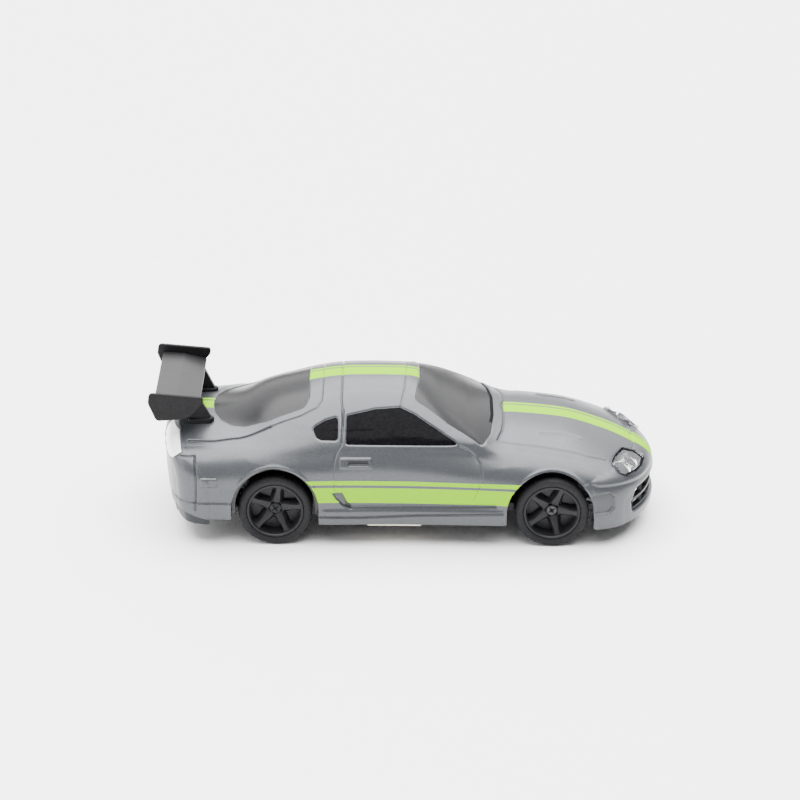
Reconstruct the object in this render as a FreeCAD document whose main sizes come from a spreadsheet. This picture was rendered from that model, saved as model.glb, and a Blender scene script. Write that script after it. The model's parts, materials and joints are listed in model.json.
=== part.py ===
"""Palm-size RC drift car: painted coupe shell, glazing, rear wing, geared rear axle and rack steering.

Frame: +X towards the nose, +Y to the car's left, +Z up, Z = 0 on the ground, millimetres.
"""
import FreeCAD, Part
import Sketcher
import math
import os
import re
from FreeCAD import Placement, Rotation, Vector

doc = FreeCAD.newDocument("drift_car")
sheet = doc.addObject("Spreadsheet::Sheet", "Sizes")

SIZES = [
    ("wheelbase", 36.5, "distance between the two axles"),
    ("rear_axle_x", -16.85, "place of the rear axle"),
    ("body_width", 26.2, "outer width of the shell at the waist"),
    ("roof_height", 20.1, "top of the roof above the ground"),
    ("shell_wall", 0.8, "wall of the body shell"),
    ("sill_height", 3.2, "lower edge of the sills above the ground"),
    ("bumper_height", 2.6, "lower edge of the front bumper above the ground"),
    ("tail_height", 3.9, "lower edge of the rear bumper above the ground"),
    ("pane_recess", 0.12, "panes lie this far under the paint"),
    ("pane_wall", 0.5, "thickness of a window pane"),
    ("trim_gap", 0.04, "gap round a pane, lamp or grille"),
    ("lamp_depth", 0.8, "depth of a lamp bowl behind its lens"),
    ("tyre_radius", 4.9, "outer radius of the tyres"),
    ("tyre_width", 4.2, "width of the tyres"),
    ("rim_radius", 3.75, "outer radius of the rims"),
    ("rim_wall", 0.4, "wall of the rim barrel"),
    ("hub_radius", 1.15, "radius of the wheel hub"),
    ("hub_recess", 1.3, "hub face behind the outer face of the wheel"),
    ("spoke_count", 5, "spokes in a wheel"),
    ("spoke_width", 0.9, "width of a spoke"),
    ("spoke_depth", 0.8, "thickness of a spoke along the axle"),
    ("wheel_inset", 0.5, "outer face of the wheels inside the body width"),
    ("arch_gap", 0.85, "gap between the tyre and the wheel arch"),
    ("arch_lift", 0.6, "centre of the wheel arches above the axles"),
    ("well_wall", 0.45, "wall of the wheel wells"),
    ("steer_room", 1.5, "extra room in the front wells for the turned wheels"),
    ("floor_height", 2.4, "underside of the chassis above the ground"),
    ("floor_wall", 0.8, "thickness of the chassis floor"),
    ("wall", 0.6, "walls that stand on the chassis"),
    ("running_gap", 0.05, "radial clearance of a turning fit"),
    ("side_gap", 0.3, "clearance beside turning pieces"),
    ("press_gap", 0.01, "radial clearance of pieces held fast"),
    ("axle_radius", 0.75, "rear axle"),
    ("bushing_radius", 1.3, "outer radius of the axle bushings"),
    ("gear_module", 0.25, "module of the drive gears"),
    ("axle_teeth", 20, "teeth on the rear axle gear"),
    ("idler_small_teeth", 12, "teeth of the idler step that drives the axle"),
    ("idler_large_teeth", 22, "teeth of the idler step that the motor drives"),
    ("pinion_teeth", 9, "teeth of the motor pinion"),
    ("gear_width", 1.0, "width of each gear step"),
    ("idler_rise", 20, "slope from the axle up to the idler, degrees"),
    ("motor_rise", 25, "slope from the idler up to the motor, degrees"),
    ("pin_radius", 0.5, "fixed gear pins and kingpins"),
    ("motor_radius", 3.0, "drive motor can"),
    ("motor_length", 9.0, "drive motor can"),
    ("shaft_radius", 0.4, "motor shafts"),
    ("kingpin_inset", 1.5, "kingpin inside the wheel's inner face"),
    ("steer_arm", 3.5, "kingpin to steering pin"),
    ("steer_limit", 24, "steering lock each way, degrees"),
    ("steer_pin_radius", 0.4, "pin on the steering arm"),
    ("rod_depth", 2.3, "steering rod, front to back"),
    ("rod_height", 5.3, "underside of the steering rod"),
    ("rod_wall", 0.8, "thickness of the steering rod"),
    ("rack_module", 0.3, "module of the steering gears"),
    ("rack_teeth", 8, "teeth on the rack"),
    ("servo_small_teeth", 16, "teeth of the servo gear step on the rack"),
    ("servo_large_teeth", 26, "teeth of the servo gear step on the pinion"),
    ("servo_pinion_teeth", 8, "teeth of the servo pinion"),
    ("servo_motor_radius", 2.2, "servo motor can"),
    ("servo_motor_length", 7.0, "servo motor can"),
    ("stub_radius", 0.6, "front stub axle"),
    ("battery_length", 9.5, "battery along the car"),
    ("battery_width", 12.0, "battery across the car"),
    ("battery_height", 4.3, "battery"),
    ("board_width", 16.4, "circuit board across the car"),
    ("board_wall", 0.8, "circuit board"),
    ("switch_travel", 1.5, "power switch slider"),
    ("socket_width", 5.4, "charging socket along the car"),
    ("wing_half", 8.2, "middle of the car to the wing end plates"),
    ("wing_wall", 0.7, "wing blade"),
    ("plate_wall", 0.55, "wing end plates"),
    ("stand_y", 5.0, "middle of the car to the wing stands"),
    ("stand_wall", 0.9, "wing stands"),
    ("screw_radius", 0.5, "screw shanks"),
    ("screw_head_radius", 0.95, "screw heads"),
    ("screw_head", 0.45, "height of the screw heads"),
]

for row, (alias, value, meaning) in enumerate(SIZES, start=1):
    sheet.set(f"A{row}", meaning)
    sheet.set(f"B{row}", str(value))
    sheet.setAlias(f"B{row}", alias)
doc.recompute()

S = {alias: float(sheet.get(alias)) for alias, value, meaning in SIZES}

# Places that several pieces share, each worked out from the sheet and from those above it.
PLACES = [
    ("front_x", "rear_axle_x + wheelbase"),
    ("axle_z", "tyre_radius"),
    ("floor_top", "floor_height + floor_wall"),
    ("wheel_out", "body_width / 2 - wheel_inset"),
    ("wheel_in", "wheel_out - tyre_width"),
    ("king_y", "wheel_in - kingpin_inset"),
    ("wall_out", "wheel_in - side_gap"),
    ("gear_b", "wall_out - wall - side_gap"),
    ("gear_a", "gear_b - gear_width - 0.1"),
    ("plate_y", "gear_a - gear_width - side_gap"),
    ("motor_y", "plate_y - wall"),
    ("idler_gap", "gear_module * (axle_teeth + idler_small_teeth) / 2"),
    ("motor_gap", "gear_module * (idler_large_teeth + pinion_teeth) / 2"),
    ("idler_x", "rear_axle_x + idler_gap * cos(idler_rise * 1deg)"),
    ("idler_z", "axle_z + idler_gap * sin(idler_rise * 1deg)"),
    ("motor_x", "idler_x + motor_gap * cos(motor_rise * 1deg)"),
    ("motor_z", "idler_z + motor_gap * sin(motor_rise * 1deg)"),
    ("gear_roof", "motor_z + 1.8"),
    ("arm_x", "front_x - steer_arm"),
    ("rod_front", "arm_x + rod_depth / 2 + 0.15"),
    ("rod_back", "rod_front - rod_depth"),
    ("rack_x", "rod_back - rack_module"),
    ("servo_x", "rack_x - rack_module * servo_small_teeth / 2"),
    ("servo_motor_x", "servo_x - rack_module * (servo_large_teeth + servo_pinion_teeth) / 2"),
    ("servo_low", "floor_top + 0.5"),
    ("battery_front", "servo_motor_x - servo_motor_radius - 1.4"),
    ("battery_back", "battery_front - battery_length"),
    ("battery_top", "floor_top + 0.1 + battery_height"),
    ("board_z", "battery_top + 1.0"),
    ("tail_floor", "12.0 * wheelbase / 36.5"),
    ("plate_z", "max(rod_height + rod_wall + 0.6; tyre_radius + 1.8)"),
    ("servo_motor_z", "servo_low + 1.5"),
    ("rear_post_x", "rear_axle_x - 10.6"),
    ("front_post_x", "front_x + 8.0"),
    ("side_y", "body_width / 2 - 3.6"),
]
places = doc.addObject("App::VarSet", "Places")
known = {alias: "Sizes" for alias in S}


def sheet_text(text):
    """Put the owner's name before every size and place in an expression."""
    return re.sub(r"[a-z][a-z_]+", lambda word: f"{known[word.group()]}.{word.group()}"
                  if word.group() in known else word.group(), str(text))


for name, text in PLACES:
    places.addProperty("App::PropertyFloat", name)
    places.setExpression(name, sheet_text(text))
    known[name] = "Places"
doc.recompute()
P = {name: getattr(places, name) for name, text in PLACES}
nodes = {}


def bind(item, **sizes):
    """Bind properties to expressions; x, y and z mean the placement."""
    for name, text in sizes.items():
        path = f"Placement.Base.{name}" if name in "xyz" else name
        item.setExpression(path, sheet_text(text))
    return item


def box(x, y, z, length, width, height):
    """Box whose low corner is at x, y, z."""
    item = doc.addObject("Part::Box", "Box")
    return bind(item, Length=length, Width=width, Height=height, x=x, y=y, z=z)


def rod(x, y, z, radius, height, along="z"):
    """Cylinder from x, y, z upwards, or towards +Y."""
    item = doc.addObject("Part::Cylinder", "Rod")
    if along == "y":
        item.Placement = Placement(Vector(), Rotation(Vector(1, 0, 0), -90))
    return bind(item, Radius=radius, Height=height, x=x, y=y, z=z)


def fuse(*items):
    joined = doc.addObject("Part::MultiFuse", "Fuse")
    joined.Shapes = list(items)
    joined.Refine = True
    return joined


def cut(base, *tools):
    item = doc.addObject("Part::Cut", "Cut")
    item.Base = base
    item.Tool = tools[0] if len(tools) == 1 else fuse(*tools)
    return item


def name_node(item, name):
    """Make a document object the sub-part called name."""
    item.Label = name
    nodes[name] = item
    return item


def made(name, shape):
    """Sub-part whose shape is worked out from formulas."""
    item = doc.addObject("Part::Feature", name)
    item.Shape = shape
    item.Placement = Placement()
    return name_node(item, name)


def mirrored(name, source):
    """Copy of a right-hand sub-part on the car's left."""
    item = doc.addObject("Part::Mirroring", name)
    item.Source = source
    item.Normal = Vector(0, 1, 0)
    return name_node(item, name)


# ---------------------------------------------------------------- body surface
# Centre line of bonnet, waist and deck: distance ahead of the rear axle, height.
WAIST_LINE = [
    (-16.0, 12.6), (-14.0, 14.3), (-12.6, 14.95), (-9.7, 15.05), (-4.0, 15.6),
    (4.0, 16.2), (12.0, 16.35), (20.0, 15.9), (29.0, 14.95), (34.0, 14.6),
    (38.0, 14.15), (43.3, 12.6), (47.4, 10.7), (50.2, 8.9), (51.5, 7.9),
]
FORM_WHEELBASE = 36.5
FORM_WIDTH = 26.2
FORM_ROOF = 20.1
TAIL_X = -14.95
NOSE_X = 50.75
NOSE_HALF = 13.15
NOSE_SWEEP = 9.8
STRETCH = S["wheelbase"] / FORM_WHEELBASE
WIDEN = S["body_width"] / FORM_WIDTH
RAISE = S["roof_height"] / FORM_ROOF
BODY_FOOT = 2.0


def smooth_max(a, b, blend):
    share = min(max(0.5 + 0.5 * (a - b) / blend, 0.0), 1.0)
    return b + (a - b) * share + 0.5 * blend * share * (1 - share)


def smooth_min(a, b, blend):
    return -smooth_max(-a, -b, blend)


def line_slopes(line):
    """Slopes that keep a cubic through the points free of overshoot."""
    steps = [(b[0] - a[0], (b[1] - a[1]) / (b[0] - a[0])) for a, b in zip(line, line[1:])]
    slopes = [steps[0][1]]
    for (width_a, slope_a), (width_b, slope_b) in zip(steps, steps[1:]):
        if slope_a * slope_b <= 0:
            slopes.append(0.0)
            continue
        part_a = 2 * width_b + width_a
        part_b = width_b + 2 * width_a
        slopes.append((part_a + part_b) / (part_a / slope_a + part_b / slope_b))
    return slopes + [steps[-1][1]]


WAIST_SLOPES = line_slopes(WAIST_LINE)


def waist_height(x):
    x = min(max(x, WAIST_LINE[0][0]), WAIST_LINE[-1][0])
    index = max(i for i, point in enumerate(WAIST_LINE[:-1]) if point[0] <= x)
    (x0, z0), (x1, z1) = WAIST_LINE[index:index + 2]
    width = x1 - x0
    u = (x - x0) / width
    return (z0 * (1 + 2 * u) * (1 - u) ** 2 + z1 * u * u * (3 - 2 * u)
            + width * WAIST_SLOPES[index] * u * (1 - u) ** 2
            + width * WAIST_SLOPES[index + 1] * u * u * (u - 1))


def lower_body(x, y, z):
    """Below zero inside the bonnet, wings, doors, bumpers and deck."""
    y = abs(y)
    top = waist_height(x) - y * y / 54.0 - 0.055 * max(y - 8.5, 0.0) ** 2
    half = (12.95 + 0.35 * math.exp(-(x / 7.0) ** 2) + 0.25 * math.exp(-((x - 36.5) / 6.5) ** 2)
            - 0.25 * math.exp(-((x - 17.0) / 9.0) ** 2)
            - 0.012 * max(z - 7.0, 0.0) ** 2 - 0.020 * max(6.0 - z, 0.0) ** 2)
    front_y = min(y / NOSE_HALF, 0.9995)
    nose = (NOSE_X - 0.035 * abs(z - 6.0) ** 1.9 * (0.9 if z > 6 else 0.7)
            - NOSE_SWEEP * (1 - math.sqrt(1 - front_y ** 2)))
    rear_y = min(y / 13.2, 0.9995)
    tail = TAIL_X + 0.018 * abs(z - 10.5) ** 1.9 + 5.6 * (1 - (1 - rear_y ** 2.6) ** (1 / 2.6))
    depth = smooth_max(0.95 * (z - top), y - half, 2.6)
    depth = smooth_max(depth, 0.8 * (x - nose), 2.0)
    return smooth_max(depth, 0.9 * (tail - x), 1.8)


def cabin(x, y, z):
    """Below zero inside the roof and its pillars."""
    y = abs(y)
    crown = y * y / 26.0
    screen = 19.95 - 0.505 * (x + y * y / 36.0 - 18.6)
    roof = 20.12 - (x - 13.3) ** 2 / 150.0 - crown
    rear = (19.25 + 0.27 * (x - 4.5) - 0.0085 * (x - 4.5) ** 2 + 0.45 * math.exp(-((x + 1.6) / 3.9) ** 2)
            - crown)
    top = smooth_min(smooth_min(roof, rear, 0.6), screen, 1.3)
    half = (smooth_min(7.9 + 0.86 * (18.0 - z), 11.35, 1.2) - 0.006 * max(x - 19.0, 0.0) ** 2
            - 0.05 * max(4.0 - x, 0.0) - 0.004 * max(4.0 - x, 0.0) ** 2)
    depth = smooth_max(0.93 * (z - top), 0.76 * (y - half), 1.6)
    return smooth_max(depth, 10.5 - z, 0.5)


def body_form(x, y, z):
    """Below zero inside the whole body, at the form's own proportions."""
    return smooth_min(lower_body(x, y, z), cabin(x, y, z), 1.2)


CORE_Z = 7.0
SIDE_LEVELS = [BODY_FOOT, 3.6, 5.2]
FAN_STEPS = 28
TAIL_LEAN = 0.12


def lean(x):
    """Slope of a station, which follows the tail's face at the rear end."""
    return TAIL_LEAN * min(max((-9.0 - x) / 5.0, 0.0), 1.0)


def reach(x, z, dy, dz, level):
    """Point where a ray in the station at x meets the surface on which the form equals level."""
    low, high = 0.0, 20.0
    slope = lean(x)
    for turn in range(26):
        middle = (low + high) / 2
        height = z + dz * middle
        if body_form(x + slope * (CORE_Z - height), dy * middle, height) < level:
            low = middle
        else:
            high = middle
    height = z + dz * low
    return x + slope * (CORE_Z - height), dy * low, height


def section(x, inset):
    """Points of a station, from the right foot over the roof to the left foot."""
    rays = [(z, 1.0, 0.0) for z in SIDE_LEVELS]
    rays += [(CORE_Z, math.cos(math.pi * i / FAN_STEPS), math.sin(math.pi * i / FAN_STEPS))
             for i in range(FAN_STEPS // 2 + 1)]
    half = []
    for z, dy, dz in rays:
        half.append(reach(x, z, dy, dz, -inset))
    return [(x, -y, z) for x, y, z in half] + [point for point in reversed(half[:-1])]


def place(x, y, z):
    """Point of the form in the car's frame, stretched to its sizes."""
    return Vector(S["rear_axle_x"] + x * STRETCH, y * WIDEN, z * RAISE)


def stations(inset):
    """Stations along the car, closer together where the nose and tail turn in."""
    inward = 1.6 * max(inset, 0.0)
    tail, nose = TAIL_X + 0.6 + inward, NOSE_X - 0.42 - inward
    back = [-9.0 + (tail + 9.0) * math.sin(math.radians(a)) for a in (90, 66, 44, 22)]
    front = [40.5 + (nose - 40.5) * math.sin(math.radians(a)) for a in (18, 36, 54, 72, 90)]
    middle = [-9.0 + i * (40.5 + 9.0) / 16 for i in range(17)]
    return back + middle + front


def body_solid(inset):
    """Closed solid of the body, inset from its outer surface."""
    foot = BODY_FOOT - inset
    rows = []
    for x in stations(inset):
        points = section(x, inset)
        sole = lean(x) * (CORE_Z - foot)
        points[0] = (x + sole, points[0][1], foot)
        points[-1] = (x + sole, points[-1][1], foot)
        rows.append([place(*point) for point in points])
    skin = Part.BSplineSurface()
    skin.interpolate(rows)
    u0, u1, v0, v1 = skin.bounds()
    rear_edge, front_edge = skin.uIso(u0).toShape(), skin.uIso(u1).toShape()
    right_edge, left_edge = skin.vIso(v0).toShape(), skin.vIso(v1).toShape()
    rear_foot = Part.makeLine(rows[0][0], rows[0][-1])
    front_foot = Part.makeLine(rows[-1][0], rows[-1][-1])
    under = Part.sortEdges([right_edge, front_foot, left_edge, rear_foot])[0]
    caps = [Part.Face(Part.Wire([rear_edge, rear_foot])),
            Part.Face(Part.Wire([front_edge, front_foot])),
            Part.Face(Part.Wire(under))]
    shell = Part.Shell([skin.toShape()] + caps)
    shell.sewShape()
    solid = Part.Solid(Part.Shell(shell.Faces))
    if solid.Volume < 0:
        solid.reverse()
    return solid


# ------------------------------------------------------------- outlines and bands
def rounded_wire(points, radius):
    """Closed wire through points with every corner rounded to radius."""
    edges = []
    count = len(points)
    joints = []
    for i, corner in enumerate(points):
        back = (points[i - 1] - corner)
        ahead = (points[(i + 1) % count] - corner)
        half_turn = back.getAngle(ahead) / 2
        trim = min(radius / math.tan(half_turn), 0.45 * back.Length, 0.45 * ahead.Length)
        start = corner + back.normalize() * trim
        end = corner + ahead.normalize() * trim
        sagitta = trim * math.tan(half_turn) * (1 / math.sin(half_turn) - 1)
        top = corner + (back + ahead).normalize() * sagitta
        joints.append((start, top, end))
    for i, (start, top, end) in enumerate(joints):
        edges.append(Part.Arc(start, top, end).toShape())
        edges.append(Part.makeLine(end, joints[(i + 1) % count][0]))
    return Part.Wire(edges)


def prism(points, radius, along, grow=0.0):
    """Prism through an outline of points in the car's frame, grown or shrunk all round."""
    face = Part.Face(rounded_wire(points, radius))
    if grow:
        face = Part.Face(face.makeOffset2D(grow).OuterWire)
    return face.extrude(along)


def plan_prism(outline, low, high, radius, grow=0.0):
    """Upright prism from an outline in plan."""
    points = [place(x, y, low) for x, y in outline]
    return prism(points, radius, Vector(0, 0, (high - low) * RAISE), grow)


def side_prism(outline, near, far, radius, grow=0.0):
    """Prism across the car from an outline seen from the side."""
    points = [place(x, near, z) for x, z in outline]
    return prism(points, radius, Vector(0, (far - near) * WIDEN, 0), grow)


def end_prism(outline, near, far, radius, grow=0.0):
    """Prism along the car from an outline seen from the front."""
    points = [place(near, y, z) for y, z in outline]
    return prism(points, radius, Vector((far - near) * STRETCH, 0, 0), grow)


def both_sides(outline):
    """Outline whose right half is given, closed over the middle of the car."""
    return outline + [(a, -b) for a, b in reversed(outline)]


inner_solids = {}


def body_inset(inset):
    if inset not in inner_solids:
        inner_solids[inset] = body_solid(inset)
    return inner_solids[inset]


def within(inset, region):
    """What lies in region inside an inset of the body surface."""
    for nudge in (0.0, -0.05, -0.02, 0.02):
        kept = body_inset(inset + nudge).common(region)
        if kept.Solids and kept.isValid() and kept.Volume > 0:
            return kept
    raise RuntimeError(f"nothing of the region is left at inset {inset}")


def band(outer, inner, region):
    """What lies in region between two insets of the body surface."""
    for nudge in (0.0, 0.01, 0.02, 0.03):
        layer = body_inset(outer + nudge).common(region).cut(body_inset(inner + nudge))
        if layer.Solids and layer.isValid() and layer.Volume > 0:
            return layer
    raise RuntimeError(f"no band between insets {outer} and {inner}")


WINDSCREEN = both_sides([(18.35, -6.5), (22.7, -9.05), (27.2, -10.6), (28.4, -7.4), (28.9, -3.0)])
REAR_WINDOW = both_sides([(-8.6, -1.6), (-7.0, -5.0), (-4.8, -7.2), (-0.8, -7.4), (4.25, -5.9)])
DOOR_WINDOW = [(9.35, 17.05), (9.3, 14.08), (24.5, 13.98), (21.2, 15.72), (18.3, 17.2),
               (16.4, 17.86), (13.1, 17.7)]
QUARTER_WINDOW = [(8.25, 16.95), (8.25, 14.6), (5.9, 14.6), (4.95, 15.6), (6.5, 16.6)]
HEADLIGHT = [(44.2, -9.0), (45.9, -4.95), (48.85, -4.5), (48.4, -6.9), (46.3, -10.1)]
TAILLIGHT = [(-4.2, 11.9), (-4.2, 13.5), (-10.6, 13.3), (-11.8, 12.6), (-11.4, 11.4)]
INTAKE = [(-9.9, 3.9), (-10.2, 5.5), (-9.2, 7.3), (9.2, 7.3), (10.2, 5.5), (9.9, 3.9)]
DIFFUSER_FRONT = -8.6
DIFFUSER_TOP = 4.85
DIFFUSER_FOOT = 2.9
PANE_IN = S["pane_recess"] + S["pane_wall"]
LENS_IN = PANE_IN
BOWL_OUT = LENS_IN + S["trim_gap"]
BOWL_IN = BOWL_OUT + S["lamp_depth"]
GRILLE_OUT = 0.6
GRILLE_IN = 1.2


def open_prisms(grow):
    """Prisms of the panes, lamps and intake, each grown by a gap."""
    return {
        "windscreen": plan_prism(WINDSCREEN, 11.0, 22.0, 0.7, grow),
        "rear_window": plan_prism(REAR_WINDOW, 11.0, 22.0, 1.0, grow),
        "door_window_r": side_prism(DOOR_WINDOW, -14.0, -5.0, 0.3, grow),
        "quarter_window_r": side_prism(QUARTER_WINDOW, -14.0, -5.0, 0.3, grow),
        "headlight_r": plan_prism(HEADLIGHT, 8.0, 14.0, 0.35, grow),
        "taillight_r": end_prism(TAILLIGHT, -16.0, -10.4, 0.4, grow),
        "intake_grille": end_prism(INTAKE, 44.5, 52.0, 0.6, grow),
    }


def left_of(shape):
    """Mirror image of a shape on the car's left."""
    return shape.mirror(Vector(), Vector(0, 1, 0))


def nose_curve(inset):
    """Upright elliptic disc that follows the nose in plan, inset from its face."""
    middle = place(NOSE_X - NOSE_SWEEP, 0, 3.0)
    front = place(NOSE_X - inset, 0, 3.0)
    side = place(NOSE_X - NOSE_SWEEP, NOSE_HALF - inset, 3.0)
    edge = Part.Ellipse(side, front, middle).toShape()
    return Part.Face(Part.Wire(edge)).extrude(Vector(0, 0, 6.0 * RAISE))


def painted_shell(tools):
    """Shell between the body surface and its inset, cut by tools, with two screw posts."""
    for nudge in (0.0, 0.01, -0.01, 0.02, 0.03):
        shell = body_inset(0.0).cut([body_inset(S["shell_wall"] + nudge)] + tools)
        shell = max(shell.Solids, key=lambda solid: solid.Volume)
        posts = []
        for x in (P["rear_post_x"], P["front_post_x"]):
            foot = Vector(x, 0, P["floor_top"] + 0.05)
            post = Part.makeCylinder(1.5, 30, foot).common(body_inset(S["shell_wall"] / 2 + nudge))
            bore = Part.makeCylinder(S["screw_radius"] + S["press_gap"], 5.0, foot)
            posts.append(post.cut(bore))
        joined = shell.fuse(posts).removeSplitter()
        if joined.isValid() and len(joined.Solids) == 1:
            return joined
    raise RuntimeError("the body shell is not one valid solid")


def build_body():
    """Painted shell with its openings, and the pieces that fill them."""
    openings = open_prisms(0.0)
    arch_radius = S["tyre_radius"] + S["arch_gap"]
    arch_z = S["tyre_radius"] + S["arch_lift"]
    tools = []
    for piece, shape in openings.items():
        tools.append(shape)
        if piece.endswith("_r"):
            tools.append(left_of(shape))
    for x in (S["rear_axle_x"], P["front_x"]):
        for y in (-S["body_width"], 6.0):
            span = S["body_width"] - 6.0
            tools.append(Part.makeCylinder(arch_radius, span, Vector(x, y, arch_z), Vector(0, 1, 0)))
            low = Vector(x - arch_radius, y, -1)
            tools.append(Part.makeBox(2 * arch_radius, span, arch_z + 1, low))
    sill_end = place(42.0, 0, 0).x
    length, width = 100.0, 2 * S["body_width"]
    tools.append(Part.makeBox(length, width, S["sill_height"] + 5,
                              Vector(sill_end - length, -width / 2, -5)))
    tools.append(Part.makeBox(length, width, S["bumper_height"] + 5,
                              Vector(sill_end, -width / 2, -5)))
    tools.append(Part.makeBox(length, width, S["tail_height"] + 5,
                              Vector(S["rear_axle_x"] - length, -width / 2, -5)))
    tail_end = place(DIFFUSER_FRONT, 0, DIFFUSER_TOP)
    tools.append(Part.makeBox(length, width, tail_end.z + 5 + S["trim_gap"],
                              Vector(tail_end.x - length + S["trim_gap"], -width / 2, -5)))
    made("body_shell", painted_shell(tools))

    panes = open_prisms(-S["trim_gap"])
    for piece in ("windscreen", "rear_window"):
        made(piece, band(S["pane_recess"], PANE_IN, panes[piece]))
    for piece in ("door_window_r", "quarter_window_r"):
        pane = band(S["pane_recess"], PANE_IN, panes[piece])
        made(piece, pane)
        made(piece[:-1] + "l", left_of(pane))
    lens = band(S["pane_recess"] / 2, LENS_IN, panes["headlight_r"])
    bowl = band(BOWL_OUT, BOWL_IN, panes["headlight_r"])
    lamp = band(S["pane_recess"] / 2, PANE_IN + S["lamp_depth"], panes["taillight_r"])
    for piece, shape in (("headlight_lens", lens), ("headlight_bowl", bowl), ("taillight", lamp)):
        made(piece + "_r", shape)
        made(piece + "_l", left_of(shape))
    grille = nose_curve(GRILLE_OUT).cut(nose_curve(GRILLE_IN)).common(panes["intake_grille"])
    slots = []
    for row_z in (4.55, 5.85):
        for column in range(8):
            corner = place(44.0, -9.0 + column * 2.3, row_z)
            slots.append(Part.makeBox(10 * STRETCH, 1.9 * WIDEN, 0.9 * RAISE, corner))
    made("intake_grille", grille.cut(slots))
    foot = place(-20.0, -14.0, DIFFUSER_FOOT)
    tail_box = Part.makeBox(tail_end.x - foot.x, -2 * foot.y, tail_end.z - foot.z, foot)
    made("rear_diffuser", band(0.25, 1.25, tail_box))


def build_wells():
    """Black wheel wells, trimmed to the inside of the shell."""
    outer = S["tyre_radius"] + S["arch_gap"] - 0.02
    axis_z = S["tyre_radius"] + S["arch_lift"]
    near, far = P["wheel_in"] - 0.25, S["body_width"] / 2 - 0.9
    foot = 4.4
    ahead = Vector(0, 1, 0)
    for end, x, room in (("rear", S["rear_axle_x"], 0.0), ("front", P["front_x"], S["steer_room"])):
        big, small = outer + room, outer + room - S["well_wall"]
        lip = 0.1 + 0.55 * room
        hollow = [Part.makeCylinder(small - lip, far, Vector(x, near - 1, axis_z), ahead),
                  Part.makeCylinder(small, far, Vector(x, near + 0.2, axis_z), ahead),
                  Part.makeBox(2 * small, far, axis_z, Vector(x - small, near - 1, 0))]
        well = Part.makeCylinder(big, far - near, Vector(x, near, axis_z), ahead)
        well = well.fuse(Part.makeBox(2 * big, far - near, axis_z - foot, Vector(x - big, near, foot)))
        well = well.cut(hollow + [Part.makeBox(4 * big, 2 * far, foot, Vector(x - 2 * big, 0, 0))])
        well = within(S["shell_wall"] + 0.1, well)
        well = max(well.Solids, key=lambda solid: solid.Volume)
        made(f"{end}_wheel_well_l", well)
        made(f"{end}_wheel_well_r", left_of(well))


# ------------------------------------------------------------------------- gears
PRESSURE = math.radians(25)
ADDENDUM = 0.8
DEDENDUM = 1.05
BACKLASH = 0.07


def gear_face(teeth, module, centre, phase, across, up):
    """Flat spur gear outline whose first tooth points at phase, in the plane of across and up."""
    pitch = teeth * module / 2
    base = pitch * math.cos(PRESSURE)
    tip, root = pitch + ADDENDUM * module, pitch - DEDENDUM * module

    def half_angle(radius):
        """Half the angle of the tooth at a radius, from the involute."""
        def involute(r):
            slope = math.acos(min(base / r, 1.0))
            return math.tan(slope) - slope
        half_pitch = math.pi / (2 * teeth) - BACKLASH / (2 * pitch)
        return half_pitch + involute(pitch) - involute(max(radius, base))

    radii = [root] + [max(base, root) + (tip - max(base, root)) * i / 4 for i in range(5)]
    points = []
    for tooth in range(teeth):
        middle = phase + 2 * math.pi * tooth / teeth
        flank = [(r, half_angle(r)) for r in radii]
        outline = [(r, middle - a) for r, a in flank] + [(r, middle + a) for r, a in reversed(flank)]
        points += [centre + across * (r * math.cos(t)) + up * (r * math.sin(t)) for r, t in outline]
    return Part.Face(Part.makePolygon(points + [points[0]]))


def gear_step(teeth, module, centre, phase, across, up, width):
    face = gear_face(int(teeth), module, centre, phase, across, up)
    return face.extrude(width)


SIDE_VIEW = (Vector(1, 0, 0), Vector(0, 0, 1))
TOP_VIEW = (Vector(1, 0, 0), Vector(0, 1, 0))


def drive_gears():
    """Axle gear, two-step idler and motor pinion, in mesh at rest on the car's right."""
    module, width = S["gear_module"], Vector(0, S["gear_width"], 0)
    far_b, far_a = -P["gear_b"], -P["gear_a"]
    rise, lift = math.radians(S["idler_rise"]), math.radians(S["motor_rise"])
    axle = Vector(S["rear_axle_x"], far_b, P["axle_z"])
    gear = gear_step(S["axle_teeth"], module, axle, rise, *SIDE_VIEW, width)
    bore = Part.makeCylinder(S["axle_radius"] + S["press_gap"], 3, axle - width, Vector(0, 1, 0))
    made("axle_gear", gear.cut(bore))

    idler = Vector(P["idler_x"], far_b, P["idler_z"])
    small_phase = rise + math.pi + math.pi / S["idler_small_teeth"]
    small_width = Vector(0, S["gear_width"] + 0.1, 0)
    small = gear_step(S["idler_small_teeth"], module, idler, small_phase, *SIDE_VIEW, small_width)
    idler.y = far_a
    large = gear_step(S["idler_large_teeth"], module, idler, lift, *SIDE_VIEW, width)
    start = idler - Vector(0, 4, 0)
    bore = Part.makeCylinder(S["pin_radius"] + S["running_gap"], 8, start, Vector(0, 1, 0))
    made("idler_gear", small.fuse(large).cut(bore))

    motor = Vector(P["motor_x"], far_a, P["motor_z"])
    phase = lift + math.pi + math.pi / S["pinion_teeth"]
    pinion = gear_step(S["pinion_teeth"], module, motor, phase, *SIDE_VIEW, width)
    shaft_length = P["gear_a"] - P["motor_y"] + 2.0
    shaft = Part.makeCylinder(S["shaft_radius"], shaft_length, motor, Vector(0, 1, 0))
    made("motor_pinion", pinion.fuse(shaft))


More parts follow.
